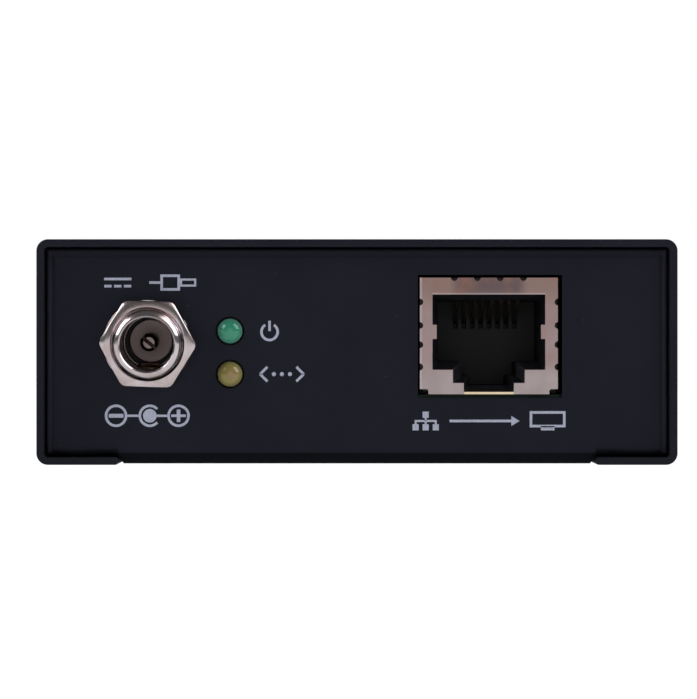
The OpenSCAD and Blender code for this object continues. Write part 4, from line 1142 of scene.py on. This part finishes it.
@dataclass
class Marks:
    """Plain signs in pale ink on one end panel, in place of any wording.

    Each sign is drawn in millimetres across and up from its own spot.
    """

    side: Side
    name: str
    thickness: float = 0.025
    disc_steps: int = 32
    least_steps: int = 8
    step_angle: float = 6.0
    head: float = 0.96
    head_half: float = 0.5952

    def __post_init__(self) -> None:
        """Starts an empty sheet."""
        self.mesh = bmesh.new()
        self.spot = (0.0, 0.0)

    def signs(self) -> Signs:
        """Lists the spots on the panel and the methods that draw the signs there."""
        raise NotImplementedError

    def build(self, ink: Material) -> None:
        """Draws the signs and lays them on their panel.

        Args:
            ink: The ink's material.
        """
        for spot, sign in self.signs():
            self.spot = spot
            sign()
        thickened(self.mesh, self.side.value * self.thickness)
        low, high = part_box("chassis")
        face_y = low.y if self.side is Side.FRONT else high.y
        marks = piece_from(self.name, self.mesh, placed((0.0, face_y, 0.0)))
        marks.data.materials.append(ink)
        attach(marks, BODY)
        LOG.info("%s: %d faces", self.name, len(marks.data.polygons))

    def _points(self, places: Iterable[Point]) -> list[BMVert]:
        """Puts points at places round the spot."""
        x, z = self.spot
        return [self.mesh.verts.new((x + across, 0.0, z + up)) for across, up in places]

    def _fill(self, places: Iterable[Point]) -> None:
        """Fills one outline."""
        self.mesh.faces.new(self._points(places))

    def line(self, start: Point, end: Point, width: float = STROKE) -> None:
        """Draws a straight stroke.

        Args:
            start: Its first end.
            end: Its other end.
            width: Its width.
        """
        first, last = Vector(start), Vector(end)
        along = last - first
        aside = Vector((-along.y, along.x)).normalized() * (width / 2)
        self._fill((first - aside, last - aside, last + aside, first + aside))

    def bar(self, centre: Point, length: float, width: float = STROKE) -> None:
        """Draws a level stroke about its middle."""
        x, z = centre
        self.line((x - length / 2, z), (x + length / 2, z), width)

    def bend(self, centre: Point, radius: float, start: float, end: float, width: float = STROKE) -> None:
        """Draws a round stroke.

        Args:
            centre: The middle of its circle.
            radius: The radius of its middle line.
            start: The angle where it starts, in degrees.
            end: The angle where it ends, in degrees.
            width: Its width.
        """
        steps = max(self.least_steps, int(abs(end - start) / self.step_angle))
        inner = arc(centre, radius - width / 2, start, end, steps)
        outer = arc(centre, radius + width / 2, start, end, steps)
        ribs = [self._points(pair) for pair in zip(inner, outer)]
        if abs(end - start) == 360:
            self.mesh.verts.remove(ribs[-1][0])
            self.mesh.verts.remove(ribs[-1][1])
            ribs[-1] = ribs[0]
        for near, far in zip(ribs, ribs[1:]):
            self.mesh.faces.new([near[0], near[1], far[1], far[0]])

    def dot(self, centre: Point, radius: float) -> None:
        """Fills a disc."""
        self._fill(arc(centre, radius, 0, 360, self.disc_steps)[:-1])

    def box(self, centre: Point, width: float, height: float, stroke: float = STROKE) -> None:
        """Draws a rectangle's outline.

        Args:
            centre: Its middle.
            width: Its width outside.
            height: Its height outside.
            stroke: The width of its lines.
        """
        x, z = centre
        right, top, inside = (width - stroke) / 2, (height - stroke) / 2, height / 2 - stroke
        for end in (-1, 1):
            self.bar((x, z + end * top), width, stroke)
            self.line((x + end * right, z - inside), (x + end * right, z + inside), stroke)

    def arrow(self, start: float, end: float) -> None:
        """Draws a level arrow.

        Args:
            start: How far across its tail starts.
            end: How far across its point is.
        """
        neck = end - math.copysign(self.head, end - start)
        self.line((start, 0.0), (neck, 0.0))
        self._fill([(neck, -self.head_half), (end, 0.0), (neck, self.head_half)])


@dataclass
class FrontMarks(Marks):
    """The marks at the cable end."""

    side: Side = Side.FRONT
    name: str = "front_marks"
    jack_sign_z: float = 21.35
    current_aside: float = -3.6
    plug_aside: float = 0.1
    polarity_z: float = 5.73
    polarity_xs: Triple = (-28.25, -24.29, -20.92)
    lamp_sign_x: float = -10.25
    socket_sign_z: float = 5.12

    def signs(self) -> Signs:
        """Lists the spots and the signs of the cable end.

        Returns:
            The spots, each with the method that draws its sign.
        """
        jack_x = PowerJack().centre.x / MM
        return [
            ((jack_x + self.current_aside, self.jack_sign_z), self.direct_current),
            ((jack_x + self.plug_aside, self.jack_sign_z), self.plug),
            ((0.0, self.polarity_z), self.polarity),
            ((self.lamp_sign_x, middle("power_led").z / MM), self.power),
            ((self.lamp_sign_x, middle("link_led").z / MM), self.link),
            ((middle("rj45_shield").x / MM, self.socket_sign_z), self.cable_in),
        ]

    def direct_current(self) -> None:
        """Draws a line over a dashed line."""
        length, rise, dash, step = 3.2, 0.42, 0.85, 1.15
        self.bar((0.0, rise), length)
        for i in (-1, 0, 1):
            self.bar((i * step, -rise), dash)

    def plug(self) -> None:
        """Draws a coaxial plug from the side: cable, grip and tip."""
        cable, grip, grip_height, tip, tip_height = 1.3, 2.3, 1.9, 1.9, 0.95
        self.line((0.0, 0.0), (cable, 0.0))
        self.box((cable + grip / 2, 0.0), grip, grip_height)
        self.box((cable + grip + tip / 2, 0.0), tip, tip_height, FINE)

    def polarity(self) -> None:
        """Draws the common sign for a plug whose centre is positive."""
        minus_x, dot_x, plus_x = self.polarity_xs
        radius, dot, bar, rise, mouth = 1.17, 0.8, 0.86, 0.731, 42
        minus, upright, wire = 1.5 * STROKE, 1.4 * STROKE, 0.9 * STROKE
        outer = radius + STROKE / 2
        for x in (minus_x, plus_x):
            self.bend((x, 0.0), radius, 0, 360)
        self.bend((dot_x, 0.0), radius, mouth, 360 - mouth)
        self.dot((dot_x, 0.0), dot)
        self.bar((minus_x, 0.0), 2 * bar, minus)
        self.bar((plus_x, 0.0), 2 * bar)
        for end in (-1, 1):
            self.line((plus_x, end * STROKE / 2), (plus_x, end * rise), upright)
        self.line((minus_x + outer, 0.0), (dot_x - outer, 0.0), wire)
        self.line((dot_x + dot, 0.0), (plus_x - outer, 0.0), wire)

    def power(self) -> None:
        """Draws an open ring with a bar in its gap."""
        radius, drop, bar, mouth = 0.95, 0.1, 1.2, 32
        self.bend((0.0, -drop), radius, 90 + mouth, 450 - mouth)
        self.line((0.0, 0.0), (0.0, bar))

    def link(self) -> None:
        """Draws three dots between two open arrow heads."""
        left, right, rise, step, dot = -1.1, 4.0, 0.85, 0.95, 0.24
        for tip, way in ((left, 1), (right, -1)):
            for end in (-1, 1):
                self.line((tip, 0.0), (tip + way * rise, end * rise))
        for i in (-1, 0, 1):
            self.dot(((left + right) / 2 + i * step, 0.0), dot)

    def cable_in(self) -> None:
        """Draws a net of four boxes, an arrow and a socket."""
        net_x, node, row, trunk, rail, step = -7.4, 0.72, 0.74, 0.38, 2.6, 1.18
        leg_top, leg_foot = -0.12, -0.4
        self.bar((net_x, row), node, node)
        self.line((net_x, trunk), (net_x, 0.0), FINE)
        self.bar((net_x, 0.0), rail, FINE)
        for i in (-1, 0, 1):
            foot = net_x + i * step
            self.line((foot, leg_top), (foot, leg_foot), FINE)
            self.bar((foot, -row), node, node)
        tail, tip = -4.6, 3.6
        self.arrow(tail, tip)
        socket_x, mouth_z, mouth_width, mouth_height = 6.9, 0.2, 4.2, 1.9
        latch_z, latch_width, latch_height = -0.85, 1.6, 0.5
        self.box((socket_x, mouth_z), mouth_width, mouth_height)
        self.box((socket_x, latch_z), latch_width, latch_height, FINE)


@dataclass
class RearMarks(Marks):
    """The marks at the video end."""

    side: Side = Side.REAR
    name: str = "rear_marks"
    sign_z: float = 17.6

    def signs(self) -> Signs:
        """Lists the spots and the signs of the video end.

        Returns:
            The spots, each with the method that draws its sign.
        """
        signs = {"hdmi_shell": self.screen, "ir_in_collar": self.rays_in, "ir_out_collar": self.rays_out}
        return [((middle(node).x / MM, self.sign_z), sign) for node, sign in signs.items()]

    def screen(self) -> None:
        """Draws an arrow that goes out to a screen on its stand."""
        tail, tip, screen_x, screen_z, width, height = 4.2, 0.6, -1.9, 0.2, 3.4, 2.1
        stand_z, stand = -1.15, 1.8
        self.arrow(tail, tip)
        self.box((screen_x, screen_z), width, height)
        self.bar((screen_x, stand_z), stand)

    def rays_in(self) -> None:
        """Draws the rays that a receiver takes in."""
        self.rays(source=-1.4, way=0)

    def rays_out(self) -> None:
        """Draws the rays that a sender gives off."""
        self.rays(source=1.1, way=180)

    def rays(self, source: float, way: float) -> None:
        """Draws a dot with three arcs beside it.

        Args:
            source: How far across the dot is.
            way: The direction of the arcs from it, in degrees.
        """
        nearest, step, spread, dot = 0.7, 0.55, 42, 0.3
        for i in range(3):
            self.bend((source, 0.0), nearest + step * i, way - spread, way + spread, FINE)
        self.dot((source, 0.0), dot)


@dataclass(frozen=True)
class SoftBox:
    """A square studio light, with its size and distance in metres and its power in watts."""

    name: str
    way: Triple
    away: float
    size: float
    power: float

    def hang(self, target: Vector) -> None:
        """Hangs the light, out of the camera's sight.

        Args:
            target: The point that it looks at.
        """
        data = bpy.data.lights.new(self.name, "AREA")
        data.shape = "SQUARE"
        data.size = self.size
        data.energy = self.power
        light = bpy.data.objects.new(self.name, data)
        light.location = target + Vector(self.way).normalized() * self.away
        light.rotation_euler = (target - light.location).to_track_quat("-Z", "Y").to_euler()
        light.visible_camera = False
        bpy.context.scene.collection.objects.link(light)


@dataclass
class Studio:
    """A pale floor, three soft boxes and the camera, with all lengths but the lens's in metres."""

    floor_half: float = 0.75
    floor_drop: float = 0.00002
    floor_colour: Colour = (0.84, 0.84, 0.84)
    floor_shade: Colour = (0.88, 0.88, 0.88)
    floor_clouds: float = 0.004
    floor_roughness: float = 0.7
    floor_glow: float = 0.32
    floor_white: float = 1.05
    room_light: float = 0.12
    camera_away: float = 0.4
    camera_x: float = -0.00099
    camera_z: float = 0.0135
    lens: float = 176.2
    clip: Pair = (0.01, 20.0)
    soft_boxes: tuple[SoftBox, ...] = (
        SoftBox("left_box", (-0.83, -0.19, 0.52), away=1.2, size=0.75, power=7.0),
        SoftBox("right_box", (0.78, -0.10, 0.62), away=1.2, size=1.0, power=12.0),
        SoftBox("front_box", (0.0, -1.0, 0.03), away=1.5, size=1.2, power=3.8),
    )

    def build(self) -> None:
        """Builds the surroundings."""
        self.floor()
        self.world()
        for soft_box in self.soft_boxes:
            soft_box.hang(Vector((0.0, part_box("chassis")[0].y, self.camera_z)))
        self.camera()

    def floor(self) -> None:
        """Lays a plain pale floor just under the box."""
        mesh = bmesh.new()
        bmesh.ops.create_grid(mesh, x_segments=4, y_segments=4, size=self.floor_half)
        floor = piece_from("floor", mesh, Matrix.Translation((0.0, 0.0, -self.floor_drop)))
        shader = Shader(bpy.data.materials.new("pale_floor"))
        cloud = shader.point().noise(self.floor_clouds, detail=2.0)
        sockets = {
            "Base Color": cloud.mix(self.floor_colour, self.floor_shade),
            "Roughness": self.floor_roughness,
            "Emission Color": WHITE,
            "Emission Strength": self.floor_glow,
        }
        lit = shader.node("BsdfPrincipled", inputs=sockets)
        seen = shader.node("Emission", inputs={"Color": WHITE, "Strength": self.floor_white})
        shader.by_camera(lit, seen, "OutputMaterial")
        floor.data.materials.append(shader.owner)

    def world(self) -> None:
        """Gives a white backdrop and an even room light."""
        shader = Shader(bpy.data.worlds.new("studio"))
        room = shader.node("Background", inputs={"Color": WHITE, "Strength": self.room_light})
        seen = shader.node("Background", inputs={"Color": WHITE})
        shader.by_camera(room, seen, "OutputWorld")
        bpy.context.scene.world = shader.owner

    def camera(self) -> None:
        """Stands the camera square in front of the cable end."""
        data = bpy.data.cameras.new("camera")
        data.lens = self.lens
        data.clip_start, data.clip_end = self.clip
        camera = bpy.data.objects.new("camera", data)
        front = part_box("top_cover")[0].y
        camera.location = (self.camera_x, front - self.camera_away, self.camera_z)
        camera.rotation_euler = (math.pi / 2, 0.0, 0.0)
        bpy.context.scene.collection.objects.link(camera)
        bpy.context.scene.camera = camera
        bpy.context.scene.view_settings.view_transform = "Standard"


def main() -> None:
    """Builds the sub-assemblies in order."""
    logging.basicConfig(level=logging.INFO, format="%(name)s %(message)s")
    Studio().build()
    for part in (Case(), PowerJack(), Lamps(), ModularSocket(), VideoSocket(), InfraredJacks(), Board()):
        LOG.info("%s", type(part).__name__)
        part.build()
    ink = Palette.ink.material("pale_ink")
    for marks in (FrontMarks(), RearMarks()):
        marks.build(ink)


if __name__ == "__main__":
    main()
